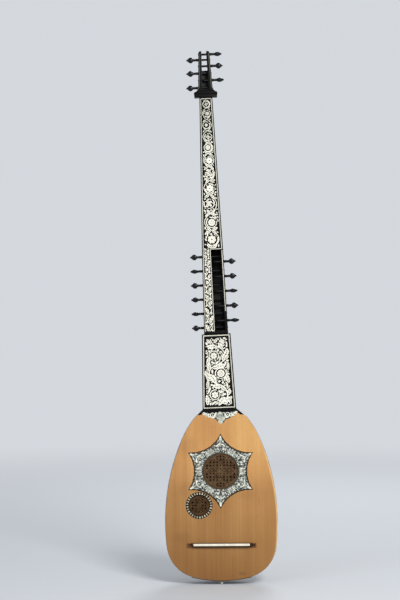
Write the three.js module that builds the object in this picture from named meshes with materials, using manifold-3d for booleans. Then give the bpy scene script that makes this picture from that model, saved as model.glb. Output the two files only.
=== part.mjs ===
// Theorbo with a long second pegbox, in millimetres.
// Z runs up the instrument from the foot of the end button, the soundboard faces -Y,
// and +X is to the right of someone who looks at the soundboard.

import * as THREE from 'three';
import { mergeVertices } from 'three/addons/utils/BufferGeometryUtils.js';
import Module from 'manifold-3d';

// Fit and clearance
const seatGap = 0.3;
const glueLine = 0.15;
const pegClearance = 0.3;
const cutOverrun = 2;

// Body outline, four tangent arcs on each side of the centre line
const endButtonHeight = 14;
const bottomArcRadius = 417;
const sideArcRadius = 740;
const cornerArcRadius = 122.5;
const shoulderArcRadius = 344;
const bodyHalfWidth = 194;
const roseHeight = 392;
const widestDrop = 180;
const sideTopRise = 108;
const shoulderRise = 186;
const neckJointRise = 28;
const widestHeight = roseHeight - widestDrop;
const sideTopHeight = roseHeight + sideTopRise;
const shoulderHeight = roseHeight + shoulderRise;
const neckJointHeight = shoulderHeight + neckJointRise;

// Neck placement
const neckLeanDegrees = 2.2;
const neckShift = -5.3;

// Bowl
const ribCount = 11;
const ribThickness = 1.6;
const ribJoint = 0.3;
const bowlDepth = 140;
const bowlDepthAtNeck = 34;
const bowlBulgeDegrees = 11.5;
const depthTaperDrop = 62;
const tailOpeningHalfWidth = 17;
const bottomArcSteps = 4;
const cornerArcSteps = 5;
const sideArcSteps = 6;
const shoulderArcSteps = 3;

// Soundboard and what is let into it
const soundboardThickness = 2;
const inlayDepth = 1.2;
const inlayProud = 0.15;
const roseSide = -2.5;
const roseRadius = 61;
const roseThickness = 1.6;
const roseLip = 6;
const starRadius = 129;
const starWaist = 91;
const starPoints = 6;
const starBorderWidth = 2.4;
const starArcSteps = 5;
const smallRoseDrop = 118;
const smallRoseSide = -77;
const smallRoseRadius = 35;
const smallRoseRingRadius = 46.5;
const circleSteps = 36;
const rodSteps = 12;
const smallRoseHeight = roseHeight - smallRoseDrop;

// Pierced rosettes
const roseCellPitch = 16;
const smallRoseCellPitch = 13;
const cellStarShare = 0.43;
const cellStarWaistShare = 0.25;
const cellTriangleShare = 0.13;
const roseRimWidth = 5.5;
const rimHoleHalfWidth = 1.5;
const rimHoleHalfHeight = 1.1;
const rimHoleSpacing = 16;

// Collar and beard at the neck joint
const collarBandHeight = 9;
const wingDrop = 19;
const wingRootShare = 0.43;
const beardInset = 2.3;
const beardPointDepth = 51;
const beardSteps = 4;

// Share of the beard's half width and of its depth at each turn of its edge, from the widest lobe inward
const beardEdgeShares = [
  [0.88, 0.53],
  [0.6, 0.53],
  [0.5, 0.71],
  [0.32, 0.65],
  [0.2, 0.89],
  [0, 1],
];

// Soundboard bars
const barWidth = 5;
const barDepth = 15;
const barEndScoop = 8;
const barEndClearance = 1.2;
const barRoseClearance = 2.5;
const lowestBarShare = 0.5;
const highestBarShare = 0.8;

// Blocks inside the bowl
const neckBlockLength = 60;
const tailBlockHalfWidth = 24;
const tailBlockDepth = 34;
const tailBlockThickness = 14;

// End clasp and end button
const claspThickness = 1.4;
const claspHalfWidth = 105;
const claspDepth = 30;
const claspSideSteps = 6;
const claspDepthSteps = 2;
const endButtonDepth = 9;
const endButtonRadius = 5.4;
const endButtonStemRadius = 2.8;
const endButtonStemLength = 11;

// Share of the end button's radius and of its height at each turn of its profile
const endButtonShares = [
  [0.6, 0],
  [1, 0.25],
  [1, 0.5],
  [0.63, 0.78],
  [0.82, 1],
];

// Bridge
const bridgeHeight = 137;
const bridgeLength = 240;
const bridgeWidth = 16;
const bridgeTabThickness = 4;
const bridgeBarLength = 200;
const bridgeBarWidth = 14.5;
const bridgeBarThickness = 8;
const bridgeCapLength = 194;
const bridgeCapWidth = 8;
const bridgeCapThickness = 1.6;
const bridgeCapRise = 2;

// Neck and fingerboard
const neckLength = 260;
const neckFootHalfWidth = 58.3;
const beardHalfWidth = neckFootHalfWidth - beardInset;
const neckHeadHalfWidth = 49.5;
const neckFootDepth = 38;
const neckHeadDepth = 31;
const backSteps = 12;
const fingerboardThickness = 2;
const veneerDepth = 1;
const frameInset = 3.8;
const frameWidth = 3.2;
const panelInset = 11.5;

// Second neck
const armLength = 1077;
const armFootHalfWidth = 41.6;
const armWaistHalfWidth = 36.6;
const armHeadHalfWidth = 22.3;
const armFootDepth = 38;
const armWaistDepth = 33;
const armHeadDepth = 22;
const armSideShare = 0.6;
const armVeneerThickness = 1.2;
const armPanelInset = 3.2;
const stringingWidth = 2.4;

// Lower pegbox, a slot in the second neck
const slotFoot = 272;
const slotTop = 550;
const slotFootLeft = -2.4;
const slotTopLeft = -4.9;
const slotCheek = 9;
const slotDepth = 25;
const slotPanelBorder = 2;
const cheekLineFoot = 338;

// Nuts
const lowerNutHeight = 6;
const lowerNutDepth = 4.5;
const lowerNutFoot = 261.5;
const upperNutHalfWidth = 40.8;
const upperNutFootHalfWidth = 39;
const upperNutHeight = 19.5;
const upperNutProud = 5;
const upperNutGrooveDepth = 2.5;
const upperNutGrooveWidth = 6.5;
const upperNutCorner = 4;

// Upper pegbox
const headLength = 160;
const headFootHalfWidth = 37.5;
const headWaistHalfWidth = 24.6;
const headTopHalfWidth = 19.2;
const headWaistRise = 20;
const headDepth = 26;
const headTopDepth = 18;
const channelFootHalfWidth = 11.4;
const channelTopHalfWidth = 7.8;
const channelFootRise = 10;
const channelBackRise = 75;
const channelFloor = 8;
const cheekTipSlant = 5;
const cheekTipRound = 3.2;
const flareSteps = 4;

// Pegs
const pegSides = 8;
const pegFaceRadius = 4.3;
const pegTipRadius = 3.2;
const pegNeckRadius = 3.3;
const pegStand = 16.5;
const pegHeadLength = 23;
const pegHeadHalfWidth = 10;
const pegHeadHalfThickness = 6;
const pegTipProud = 1;
const pegBlindReach = 14;
const lowerPegDepth = 12.5;
const upperPegDepth = 10;
const lowerLeftTop = 527;
const lowerLeftPitch = 49;
const lowerRightTop = 509;
const lowerRightPitch = 51;
const lowerLeftTurns = [0, 75, 0, 40, 75, 0];
const lowerRightTurns = [0, 0, 75, 0, 75];
const upperLeftTurns = [0, 0, 0];
const upperRightTurns = [75, 0, 75];

// Share of the upper pegbox's length from its foot to each peg
const upperLeftShares = [0.819, 0.528, 0.216];
const upperRightShares = [0.934, 0.681, 0.375];

// Share of the head length, of the half width and of the half thickness at each ring of a peg head
const pegHeadShares = [
  [0.1, 0.42, 0.55],
  [0.3, 0.84, 0.86],
  [0.46, 1, 1],
  [0.62, 0.84, 0.88],
  [0.8, 0.38, 0.5],
  [0.87, 0.19, 0.31],
  [0.94, 0.25, 0.4],
  [1, 0.12, 0.2],
];

const wasm = await Module();
wasm.setup();

const neckLean = THREE.MathUtils.degToRad(neckLeanDegrees);
const bowlBulge = THREE.MathUtils.degToRad(bowlBulgeDegrees);
const halfTurn = Math.PI;
const fullTurn = 2 * Math.PI;

// Materials
function finish(color, roughness, metalness = 0) {
  return new THREE.MeshStandardMaterial({ color, roughness, metalness });
}

const spruce = finish(0xcf9d62, 0.5);
const innerSpruce = finish(0xd2b27c, 0.75);
const ribWood = finish(0x3a2418, 0.35);
const ebony = finish(0x12110f, 0.32);
const ivory = finish(0xece6d4, 0.35);
const bone = finish(0xe8dfc8, 0.4);
const pearl = finish(0xaeb6b0, 0.25);
const roseWood = finish(0x4c3c2c, 0.7);

// Solids
function meshFor(name, geometry, material) {
  const mesh = new THREE.Mesh(geometry, material);
  mesh.name = name;
  return mesh;
}

function welded(geometry) {
  const bare = geometry.clone();
  bare.deleteAttribute('normal');
  bare.deleteAttribute('uv');
  return mergeVertices(bare);
}

function solidOf(geometry) {
  const merged = welded(geometry);
  const vertProperties = Float32Array.from(merged.attributes.position.array);
  const triVerts = Uint32Array.from(merged.index.array);
  return new wasm.Manifold(new wasm.Mesh({ numProp: 3, vertProperties, triVerts }));
}

function geometryOf(solid) {
  const mesh = solid.getMesh();
  const geometry = new THREE.BufferGeometry();
  geometry.setAttribute('position', new THREE.BufferAttribute(mesh.vertProperties, 3));
  geometry.setIndex(new THREE.BufferAttribute(mesh.triVerts, 1));
  return geometry;
}

function cutFrom(base, tools) {
  let solid = solidOf(base);
  for (const tool of tools) {
    solid = solid.subtract(solidOf(tool));
  }
  return geometryOf(solid);
}

function joined(pieces) {
  let solid = solidOf(pieces[0]);
  for (const piece of pieces.slice(1)) {
    solid = solid.add(solidOf(piece));
  }
  return geometryOf(solid);
}

// A plate whose outline is drawn in X and Z, from its front face at one Y to its back face
function plate(shape, front, back) {
  const geometry = new THREE.ExtrudeGeometry(shape, { depth: back - front, bevelEnabled: false });
  geometry.rotateX(halfTurn / 2);
  geometry.translate(0, back, 0);
  return geometry;
}

function polygon(points) {
  return new THREE.Shape(points.map(([x, z]) => new THREE.Vector2(x, z)));
}

// Moves every edge of a closed outline outward by one distance
function grown(points, distance) {
  const corners = points.map(([x, z]) => new THREE.Vector2(x, z));
  const outward = THREE.ShapeUtils.area(corners) > 0 ? 1 : -1;
  return corners.map((corner, place) => {
    const before = corners[(place + corners.length - 1) % corners.length];
    const after = corners[(place + 1) % corners.length];
    const [first, second] = [corner.clone().sub(before), after.clone().sub(corner)].map((edge) => {
      return new THREE.Vector2(edge.y, -edge.x).normalize().multiplyScalar(outward);
    });
    const scale = distance / (1 + first.dot(second));
    return [corner.x + (first.x + second.x) * scale, corner.y + (first.y + second.y) * scale];
  });
}

function circlePoints(x, z, radius, steps, phase = 0) {
  return Array.from({ length: steps }, (unused, step) => {
    const angle = phase + fullTurn * step / steps;
    return [x + radius * Math.cos(angle), z + radius * Math.sin(angle)];
  });
}

function withHoles(outline, holes) {
  const shape = polygon(outline);
  shape.holes = holes.map((hole) => polygon(hole));
  return shape;
}

// A closed skin through rings of equal point count, with a flat fan on each end
function loft(rings) {
  const count = rings[0].length;
  const position = rings.flat().flatMap((point) => [point.x, point.y, point.z]);
  const index = [];
  for (let ring = 0; ring < rings.length - 1; ring += 1) {
    for (let side = 0; side < count; side += 1) {
      const a = ring * count + side;
      const b = ring * count + (side + 1) % count;
      index.push(a, b, b + count, a, b + count, a + count);
    }
  }
  const last = (rings.length - 1) * count;
  for (let side = 1; side < count - 1; side += 1) {
    index.push(0, side + 1, side);
    index.push(last, last + side, last + side + 1);
  }
  return facingOut(position, index);
}

function facingOut(position, index) {
  const geometry = new THREE.BufferGeometry();
  geometry.setAttribute('position', new THREE.Float32BufferAttribute(position, 3));
  geometry.setIndex(signedVolume(position, index) < 0 ? index.toReversed() : index);
  return geometry;
}

function signedVolume(position, index) {
  const corner = (place) => new THREE.Vector3().fromArray(position, 3 * index[place]);
  let volume = 0;
  for (let place = 0; place < index.length; place += 3) {
    volume += corner(place).dot(corner(place + 1).cross(corner(place + 2)));
  }
  return volume;
}

// Body outline
const bottomCentre = endButtonHeight + bottomArcRadius;
const sideCentre = bodyHalfWidth - sideArcRadius;
const cornerCentre = cornerArcCentre();

// The corner arc touches both others, so its centre is a known distance from each of theirs
function cornerArcCentre() {
  const fromBottom = bottomArcRadius - cornerArcRadius;
  const fromSide = sideArcRadius - cornerArcRadius;
  const across = -sideCentre;
  const up = bottomCentre - widestHeight;
  const span = Math.hypot(across, up);
  const along = (fromSide ** 2 - fromBottom ** 2 + span ** 2) / (2 * span);
  const off = Math.sqrt(fromSide ** 2 - along ** 2);
  const x = sideCentre + (across * along + up * off) / span;
  const z = widestHeight + (up * along - across * off) / span;
  return new THREE.Vector2(x, z);
}

const cornerStart = Math.atan2(cornerCentre.y - bottomCentre, cornerCentre.x);
const cornerEnd = Math.atan2(cornerCentre.y - widestHeight, cornerCentre.x - sideCentre);
const sideEnd = Math.asin((sideTopHeight - widestHeight) / sideArcRadius);
const shoulderCentre = shoulderArcCentre();
const shoulderEnd = Math.asin((shoulderHeight - shoulderCentre.y) / shoulderArcRadius);

// The shoulder arc goes on from the side arc, so both centres lie on one line to the point where they meet
function shoulderArcCentre() {
  const apart = sideArcRadius - shoulderArcRadius;
  return new THREE.Vector2(sideCentre + apart * Math.cos(sideEnd), widestHeight + apart * Math.sin(sideEnd));
}

// One point of the half outline: its half width, height, outward direction and share of the neck's lean
function arcStation(x, z, radius, angle) {
  const across = Math.cos(angle);
  const up = Math.sin(angle);
  return { width: x + radius * across, height: z + radius * up, across, up, lean: 0 };
}

function arcStations(x, z, radius, from, to, steps) {
  return Array.from({ length: steps }, (unused, step) => {
    return arcStation(x, z, radius, from + (to - from) * step / steps);
  });
}

function shoulderStations() {
  const { x, y } = shoulderCentre;
  return arcStations(x, y, shoulderArcRadius, sideEnd, shoulderEnd, shoulderArcSteps);
}

function neckStation() {
  const run = neckJointHeight - shoulderHeight;
  const inward = shoulderWidth - neckFootHalfWidth;
  const length = Math.hypot(run, inward);
  const across = run / length;
  const up = inward / length;
  return { width: neckFootHalfWidth, height: neckJointHeight, across, up, lean: 1 };
}

const shoulderWidth = shoulderCentre.x + shoulderArcRadius * Math.cos(shoulderEnd);
const tailAngle = -Math.acos(tailOpeningHalfWidth / bottomArcRadius);
const blockFoot = neckJointHeight - neckBlockLength;
const stations = [
  ...arcStations(0, bottomCentre, bottomArcRadius, tailAngle, cornerStart, bottomArcSteps),
  ...arcStations(cornerCentre.x, cornerCentre.y, cornerArcRadius, cornerStart, cornerEnd, cornerArcSteps),
  ...arcStations(sideCentre, widestHeight, sideArcRadius, cornerEnd, sideEnd, sideArcSteps),
  ...shoulderStations(),
  arcStation(shoulderCentre.x, shoulderCentre.y, shoulderArcRadius, shoulderEnd),
  stationAt(blockFoot),
  neckStation(),
].sort((one, other) => one.height - other.height);

function halfWidthAt(height) {
  if (height > shoulderHeight) {
    const share = (height - shoulderHeight) / (neckJointHeight - shoulderHeight);
    return THREE.MathUtils.lerp(shoulderWidth, neckFootHalfWidth, share);
  }
  if (height > sideTopHeight) {
    return shoulderCentre.x + Math.sqrt(shoulderArcRadius ** 2 - (height - shoulderCentre.y) ** 2);
  }
  const cornerTop = cornerCentre.y + cornerArcRadius * Math.sin(cornerEnd);
  const cornerFoot = cornerCentre.y + cornerArcRadius * Math.sin(cornerStart);
  if (height > cornerTop) {
    return sideCentre + Math.sqrt(sideArcRadius ** 2 - (height - widestHeight) ** 2);
  }
  if (height > cornerFoot) {
    return cornerCentre.x + Math.sqrt(cornerArcRadius ** 2 - (height - cornerCentre.y) ** 2);
  }
  return Math.sqrt(bottomArcRadius ** 2 - (height - bottomCentre) ** 2);
}

function stationAt(height) {
  const lean = Math.max(0, (height - shoulderHeight) / (neckJointHeight - shoulderHeight));
  const rise = (height - shoulderCentre.y) / shoulderArcRadius;
  const flat = lean > 0 ? neckStation() : { across: Math.sqrt(1 - rise ** 2), up: rise };
  return { width: halfWidthAt(height), height, across: flat.across, up: flat.up, lean };
}

// Towards the neck joint the body turns with the neck, from straight at the shoulder
function leaned(x, y, z, lean) {
  const turnedX = neckShift + x * Math.cos(neckLean);
  return new THREE.Vector3(THREE.MathUtils.lerp(x, turnedX, lean), y, z + lean * x * Math.sin(neckLean));
}

// Bowl, whose section is an ellipse with its widest line a little behind the soundboard
function depthShareAt(height) {
  const fullShare = bowlDepth / bodyHalfWidth;
  const neckShare = bowlDepthAtNeck / neckFootHalfWidth;
  const progress = THREE.MathUtils.smoothstep(height, roseHeight - depthTaperDrop, neckJointHeight);
  return THREE.MathUtils.lerp(fullShare, neckShare, progress);
}

function bowlPoint(station, angle, inset) {
  const share = depthShareAt(station.height);
  const reach = station.width / Math.cos(bowlBulge);
  const depth = station.width * share;
  const x = reach * Math.cos(angle);
  const y = depth * (Math.sin(bowlBulge) + Math.sin(angle));
  const around = new THREE.Vector3(-reach * Math.sin(angle), depth * Math.cos(angle), 0);
  const spread = -station.up;
  const along = new THREE.Vector3(x, y, 0).multiplyScalar(spread / station.width);
  along.z = station.across;
  const normal = around.cross(along).normalize();
  const moved = new THREE.Vector3(x, y, station.height).addScaledVector(normal, -inset);
  return leaned(moved.x, moved.y, moved.z, station.lean);
}

const bowlStart = -bowlBulge;
const bowlSpan = halfTurn + 2 * bowlBulge;

function ribGeometry(number) {
  const rings = stations.map((station) => {
    const from = bowlStart + bowlSpan * number / ribCount;
    const to = bowlStart + bowlSpan * (number + 1) / ribCount;
    const trim = ribJoint / 2 / station.width;
    return [
      bowlPoint(station, from + trim, 0),
      bowlPoint(station, to - trim, 0),
      bowlPoint(station, to - trim, ribThickness),
      bowlPoint(station, from + trim, ribThickness),
    ];
  });
  const behindBoard = rings.map((ring) => ring.map((point) => {
    return new THREE.Vector3(point.x, Math.max(point.y, 0), point.z);
  }));
  return loft(behindBoard);
}

function bowlRibs() {
  return Array.from({ length: ribCount }, (unused, number) => {
    return meshFor(`rib_${String(number + 1).padStart(2, '0')}`, ribGeometry(number), ribWood);
  });
}

// Inside corner angles of a rib section stand in for a smooth inner wall
function innerSection(station, inset) {
  return Array.from({ length: ribCount + 1 }, (unused, number) => {
    const point = bowlPoint(station, bowlStart + bowlSpan * number / ribCount, inset);
    return new THREE.Vector3(point.x, Math.max(point.y, 0), point.z);
  });
}

function neckBlock() {
  const along = stations.filter((station) => station.height >= blockFoot);
  const rings = along.map((station) => innerSection(station, ribThickness + seatGap));
  return meshFor('neck_block', loft(rings), innerSpruce);
}

// Height of the bowl's outer face at the tail, over a place across and behind the soundboard
function tailFaceAt(x, y) {
  const share = bowlDepth / bodyHalfWidth;
  const narrow = Math.cos(bowlBulge) ** 2;
  const shift = share * Math.sin(bowlBulge);
  const a = x ** 2 * narrow + (y / share) ** 2;
  const b = 2 * y * shift / share ** 2;
  const c = Math.sin(bowlBulge) ** 2 - 1;
  const width = 2 * a / (b + Math.sqrt(b ** 2 - 4 * a * c));
  return bottomCentre - Math.sqrt(bottomArcRadius ** 2 - (a === 0 ? 0 : width) ** 2);
}

function tailBlock() {
  const wall = ribThickness + seatGap;
  const places = [-tailBlockHalfWidth, 0, tailBlockHalfWidth];
  const rings = places.map((x) => [
    new THREE.Vector3(x, 0, tailFaceAt(x, 0) + wall),
    new THREE.Vector3(x, tailBlockDepth, tailFaceAt(x, tailBlockDepth) + wall),
    new THREE.Vector3(x, tailBlockDepth, endButtonHeight + wall + tailBlockThickness),
    new THREE.Vector3(x, 0, endButtonHeight + wall + tailBlockThickness),
  ]);
  const boreRadius = endButtonStemRadius + pegClearance;
  const bore = verticalRod(boreRadius, endButtonHeight - cutOverrun, stemTop() + seatGap);
  return meshFor('tail_block', cutFrom(loft(rings), [bore]), innerSpruce);
}

function stemTop() {
  return endButtonHeight + endButtonStemLength;
}

function verticalRod(radius, from, to) {
  const rod = new THREE.CylinderGeometry(radius, radius, to - from, rodSteps);
  rod.rotateX(halfTurn / 2);
  rod.translate(0, endButtonDepth, (from + to) / 2);
  return rod;
}

// End clasp, a strip that wraps the tail along the soundboard edge and hides the ends of the ribs
function endClasp() {
  const rings = [];
  for (let step = 0; step <= 2 * claspSideSteps; step += 1) {
    const x = claspHalfWidth * (step / claspSideSteps - 1);
    const depth = claspDepth * (1 - (x / claspHalfWidth) ** 2) + claspThickness;
    const places = Array.from({ length: claspDepthSteps + 1 }, (unused, place) => place / claspDepthSteps);
    const row = places.map((share) => depth * share);
    const upper = row.map((y) => new THREE.Vector3(x, y, tailFaceAt(x, y) - seatGap));
    const lower = row.map((y) => new THREE.Vector3(x, y, tailFaceAt(x, y) - seatGap - claspThickness));
    rings.push([...upper, ...lower.toReversed()]);
  }
  const bore = verticalRod(endButtonStemRadius + pegClearance, 0, stemTop());
  return meshFor('end_clasp', cutFrom(loft(rings), [bore]), ebony);
}

function endButton() {
  const collar = endButtonHeight - claspThickness - 2 * seatGap;
  const profile = [
    [0, 0],
    ...endButtonShares.map(([wide, high]) => [endButtonRadius * wide, collar * high]),
    [endButtonStemRadius, collar],
    [endButtonStemRadius, stemTop()],
    [0, stemTop()],
  ];
  const geometry = new THREE.LatheGeometry(profile.map(([r, z]) => new THREE.Vector2(r, z)), rodSteps);
  geometry.rotateX(halfTurn / 2);
  geometry.translate(0, endButtonDepth, 0);
  return meshFor('end_button', welded(geometry), ivory);
}

// Soundboard
function boardOutline() {
  const right = stations.map((station) => leaned(station.width, 0, station.height, station.lean));
  const left = stations.map((station) => leaned(-station.width, 0, station.height, station.lean));
  const tail = [new THREE.Vector3(0, 0, endButtonHeight)];
  return [...tail, ...right, ...left.toReversed()].map((point) => [point.x, point.z]);
}

function starOutline() {
  const step = fullTurn / starPoints;
  const tipAlong = starRadius * Math.cos(step / 2);
  const tipAside = starRadius * Math.sin(step / 2);
  const sag = tipAlong - starWaist;
  const arcRadius = (tipAside ** 2 + sag ** 2) / (2 * sag);
  const arcCentre = starWaist + arcRadius;
  const halfSweep = Math.asin(tipAside / arcRadius);
  const points = [];
  for (let side = 0; side < starPoints; side += 1) {
    const facing = step * side + halfTurn / 2 + step / 2;
    for (let place = 0; place < starArcSteps; place += 1) {
      const angle = facing + halfTurn + halfSweep * (1 - 2 * place / starArcSteps);
      const x = arcCentre * Math.cos(facing) + arcRadius * Math.cos(angle);
      const z = arcCentre * Math.sin(facing) + arcRadius * Math.sin(angle);
      points.push([x + roseSide, z + roseHeight]);
    }
  }
  return points;
}

// The collar's outline follows the board edge down from the neck joint to the wing tips
function collarOutline() {
  const tipHeight = neckJointHeight - wingDrop;
  const tipWidth = halfWidthAt(tipHeight);
  const wingRoot = THREE.MathUtils.lerp(neckFootHalfWidth, tipWidth, wingRootShare);
  const lean = (tipHeight - shoulderHeight) / (neckJointHeight - shoulderHeight);
  const side = (sign) => [
    leaned(sign * neckFootHalfWidth, 0, neckJointHeight, 1),
    leaned(sign * tipWidth, 0, tipHeight, lean),
    leaned(sign * wingRoot, 0, tipHeight, lean),
    leaned(sign * beardHalfWidth, 0, neckJointHeight - collarBandHeight, 1),
  ];
  return [...side(1), ...side(-1).toReversed()].map((point) => [point.x, point.z]);
}

// The beard hangs from the collar in lobes that meet at a point on the centre line
function beardOutline() {
  const top = neckJointHeight - collarBandHeight - seatGap;
  const half = beardHalfWidth - seatGap;
  const [right, left] = [half, -half].map((x) => leaned(x, 0, top, 1));
  const turns = beardEdgeShares.map(([across, down]) => {
    return [half * across, neckJointHeight - beardPointDepth * down];
  });
  const back = [...turns.toReversed().map(([x, z]) => [-x, z]), [left.x, left.z]];
  const shape = new THREE.Shape();
  shape.moveTo(right.x, right.z);
  for (let turn = 0; turn < turns.length; turn += 2) {
    shape.quadraticCurveTo(...turns[turn], ...turns[turn + 1]);
  }
  for (let turn = 1; turn < back.length; turn += 2) {
    shape.quadraticCurveTo(...back[turn], ...back[turn + 1]);
  }
  return shape.getPoints(beardSteps).map((corner) => [corner.x, corner.y]);
}

const boardFront = -soundboardThickness;
const inlayFloor = boardFront + inlayDepth;
const pocketFront = boardFront - cutOverrun;

const mainRoseCircle = () => circlePoints(roseSide, roseHeight, roseRadius, circleSteps);
const smallRoseCircle = (radius) => circlePoints(smallRoseSide, smallRoseHeight, radius, circleSteps);

function soundboard() {
  const board = plate(polygon(boardOutline()), boardFront, 0);
  const pockets = [starOutline(), smallRoseCircle(smallRoseRingRadius), collarOutline(), beardOutline()];
  const soundHoles = [mainRoseCircle(), smallRoseCircle(smallRoseRadius)];
  const cuts = [
    ...pockets.map((outline) => plate(polygon(grown(outline, seatGap)), pocketFront, inlayFloor)),
    ...soundHoles.map((outline) => plate(polygon(outline), pocketFront, cutOverrun)),
  ];
  return meshFor('soundboard', cutFrom(board, cuts), spruce);
}

function inlay(name, shape, material) {
  return meshFor(name, plate(shape, boardFront - inlayProud, inlayFloor - glueLine), material);
}

function starInlays() {
  const star = starOutline();
  const border = withHoles(star, [grown(star, -starBorderWidth)]);
  const panel = withHoles(grown(star, -starBorderWidth - seatGap), [mainRoseCircle()]);
  return [
    inlay('star_border', border, ebony),
    inlay('star_panel', panel, pearl),
  ];
}

function smallRoseRing() {
  const ring = withHoles(smallRoseCircle(smallRoseRingRadius), [smallRoseCircle(smallRoseRadius)]);
  return inlay('small_rose_ring', ring, pearl);
}

function collarAndBeard() {
  return [
    inlay('collar', polygon(collarOutline()), ebony),
    inlay('beard_inlay', polygon(beardOutline()), pearl),
  ];
}

// Rosette, a board pierced with six-pointed stars on a triangular grid and triangles between them
function starHole(x, z, pitch) {
  const sides = 2 * starPoints;
  return Array.from({ length: sides }, (unused, side) => {
    const radius = pitch * (side % 2 === 0 ? cellStarShare : cellStarWaistShare);
    const angle = fullTurn * side / sides;
    return [x + radius * Math.cos(angle), z + radius * Math.sin(angle)];
  });
}

function rimHole(x, z, radius, angle) {
  const out = new THREE.Vector2(Math.cos(angle), Math.sin(angle));
  const high = rimHoleHalfHeight;
  const wide = rimHoleHalfWidth;
  const corners = [[high, 0], [0, wide], [-high, 0], [0, -wide]];
  return corners.map(([away, aside]) => {
    return [x + out.x * (radius + away) - out.y * aside, z + out.y * (radius + away) + out.x * aside];
  });
}

function rosetteHoles(x, z, radius, pitch) {
  const holes = [];
  const rowPitch = pitch * Math.sqrt(3) / 2;
  const reach = Math.ceil(radius / rowPitch);
  const inside = radius - roseRimWidth;
  const starReach = pitch * cellStarShare;
  const triangleReach = pitch * cellTriangleShare;
  for (let row = -reach; row <= reach; row += 1) {
    for (let column = -2 * reach; column <= 2 * reach; column += 1) {
      const across = pitch * (column + row / 2);
      const up = rowPitch * row;
      if (Math.hypot(across, up) + starReach < inside) {
        holes.push(starHole(x + across, z + up, pitch));
      }
      for (const turn of [1, -1]) {
        const centreUp = up + turn * rowPitch / 3;
        const centreAcross = across + pitch / 2;
        if (Math.hypot(centreAcross, centreUp) + triangleReach < inside) {
          const phase = turn * halfTurn / 2;
          holes.push(circlePoints(x + centreAcross, z + centreUp, triangleReach, 3, phase));
        }
      }
    }
  }
  const rimRadius = radius - roseRimWidth / 2;
  const rimCount = Math.round(fullTurn * rimRadius / rimHoleSpacing);
  for (let place = 0; place < rimCount; place += 1) {
    holes.push(rimHole(x, z, rimRadius, fullTurn * place / rimCount));
  }
  return holes;
}

function rosette(name, x, z, radius, pitch) {
  const outline = circlePoints(x, z, radius + roseLip, circleSteps);
  const piercing = rosetteHoles(x, z, radius, pitch).map((hole) => polygon(hole));
  const punch = plate(piercing, -cutOverrun, roseThickness + cutOverrun);
  return meshFor(name, cutFrom(plate(polygon(outline), 0, roseThickness), [punch]), roseWood);
}

// Bars lie close above and below each rose, one crosses the main rose, and one lies beyond at each end
function barHeights() {
  const clear = roseLip + barRoseClearance + barWidth / 2;
  const underSmallRose = smallRoseHeight - smallRoseRadius - clear;
  const overSmallRose = smallRoseHeight + smallRoseRadius + clear;
  const overMainRose = roseHeight + roseRadius + clear;
  return [
    THREE.MathUtils.lerp(bridgeHeight, underSmallRose, lowestBarShare),
    underSmallRose,
    overSmallRose,
    roseHeight,
    overMainRose,
    THREE.MathUtils.lerp(overMainRose, blockFoot, highestBarShare),
  ];
}

// Transverse bars under the soundboard, scooped at their ends
function soundboardBar(height, number) {
  const front = height === roseHeight ? roseThickness : 0;
  const edges = [height - barWidth / 2, height + barWidth / 2];
  const half = Math.min(...edges.map((edge) => halfWidthAt(edge))) - ribThickness - barEndClearance;
  const back = front + barDepth;
  const outline = [
    [-half, front],
    [half, front],
    [half, back - barEndScoop],
    [half - barEndScoop, back],
    [-half + barEndScoop, back],
    [-half, back - barEndScoop],
  ];
  const shape = new THREE.Shape(outline.map(([x, y]) => new THREE.Vector2(x, y)));
  const geometry = new THREE.ExtrudeGeometry(shape, { depth: barWidth, bevelEnabled: false });
  geometry.translate(0, 0, height - barWidth / 2);
  return meshFor(`bar_${number + 1}`, geometry, innerSpruce);
}

// Bridge
function bridgeParts() {
  const base = boxBetween(bridgeLength, bridgeWidth, boardFront - bridgeTabThickness, boardFront);
  const bar = boxBetween(bridgeBarLength, bridgeBarWidth, boardFront - bridgeBarThickness, boardFront);
  const capBack = boardFront - bridgeBarThickness;
  const cap = boxBetween(bridgeCapLength, bridgeCapWidth, capBack - bridgeCapThickness, capBack);
  cap.translate(0, 0, bridgeCapRise);
  return [
    meshFor('bridge', joined([base, bar]), ebony),
    meshFor('bridge_cap', cap, bone),
  ];
}

function boxBetween(length, width, front, back) {
  const box = new THREE.BoxGeometry(length, back - front, width);
  box.translate(0, (front + back) / 2, bridgeHeight);
  return box;
}

// Neck, in its own frame: z starts at the neck joint and the front face is at y = 0
function taperedOutline(stops, inset, endInset) {
  const right = stops.map(([half, z], place) => {
    const end = place === 0 ? endInset : (place === stops.length - 1 ? -endInset : 0);
    return [half - inset, z + end];
  });
  const left = right.map(([x, z]) => [-x, z]);
  return [...right, ...left.toReversed()];
}

const neckStops = [[neckFootHalfWidth, seatGap], [neckHeadHalfWidth, neckLength]];

function roundBackRing(half, depth, z, sideShare) {
  const side = depth * sideShare;
  const back = Array.from({ length: backSteps + 1 }, (unused, step) => {
    const angle = halfTurn * step / backSteps;
    return new THREE.Vector3(half * Math.cos(angle), side + (depth - side) * Math.sin(angle), z);
  });
  return sideShare > 0
    ? [new THREE.Vector3(half, 0, z), ...back, new THREE.Vector3(-half, 0, z)]
    : back;
}

function neck() {
  const rings = [
    roundBackRing(neckFootHalfWidth, neckFootDepth, seatGap, 0),
    roundBackRing(neckHeadHalfWidth, neckHeadDepth, neckLength, 0),
  ];
  return meshFor('neck', loft(rings), ebony);
}

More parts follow.
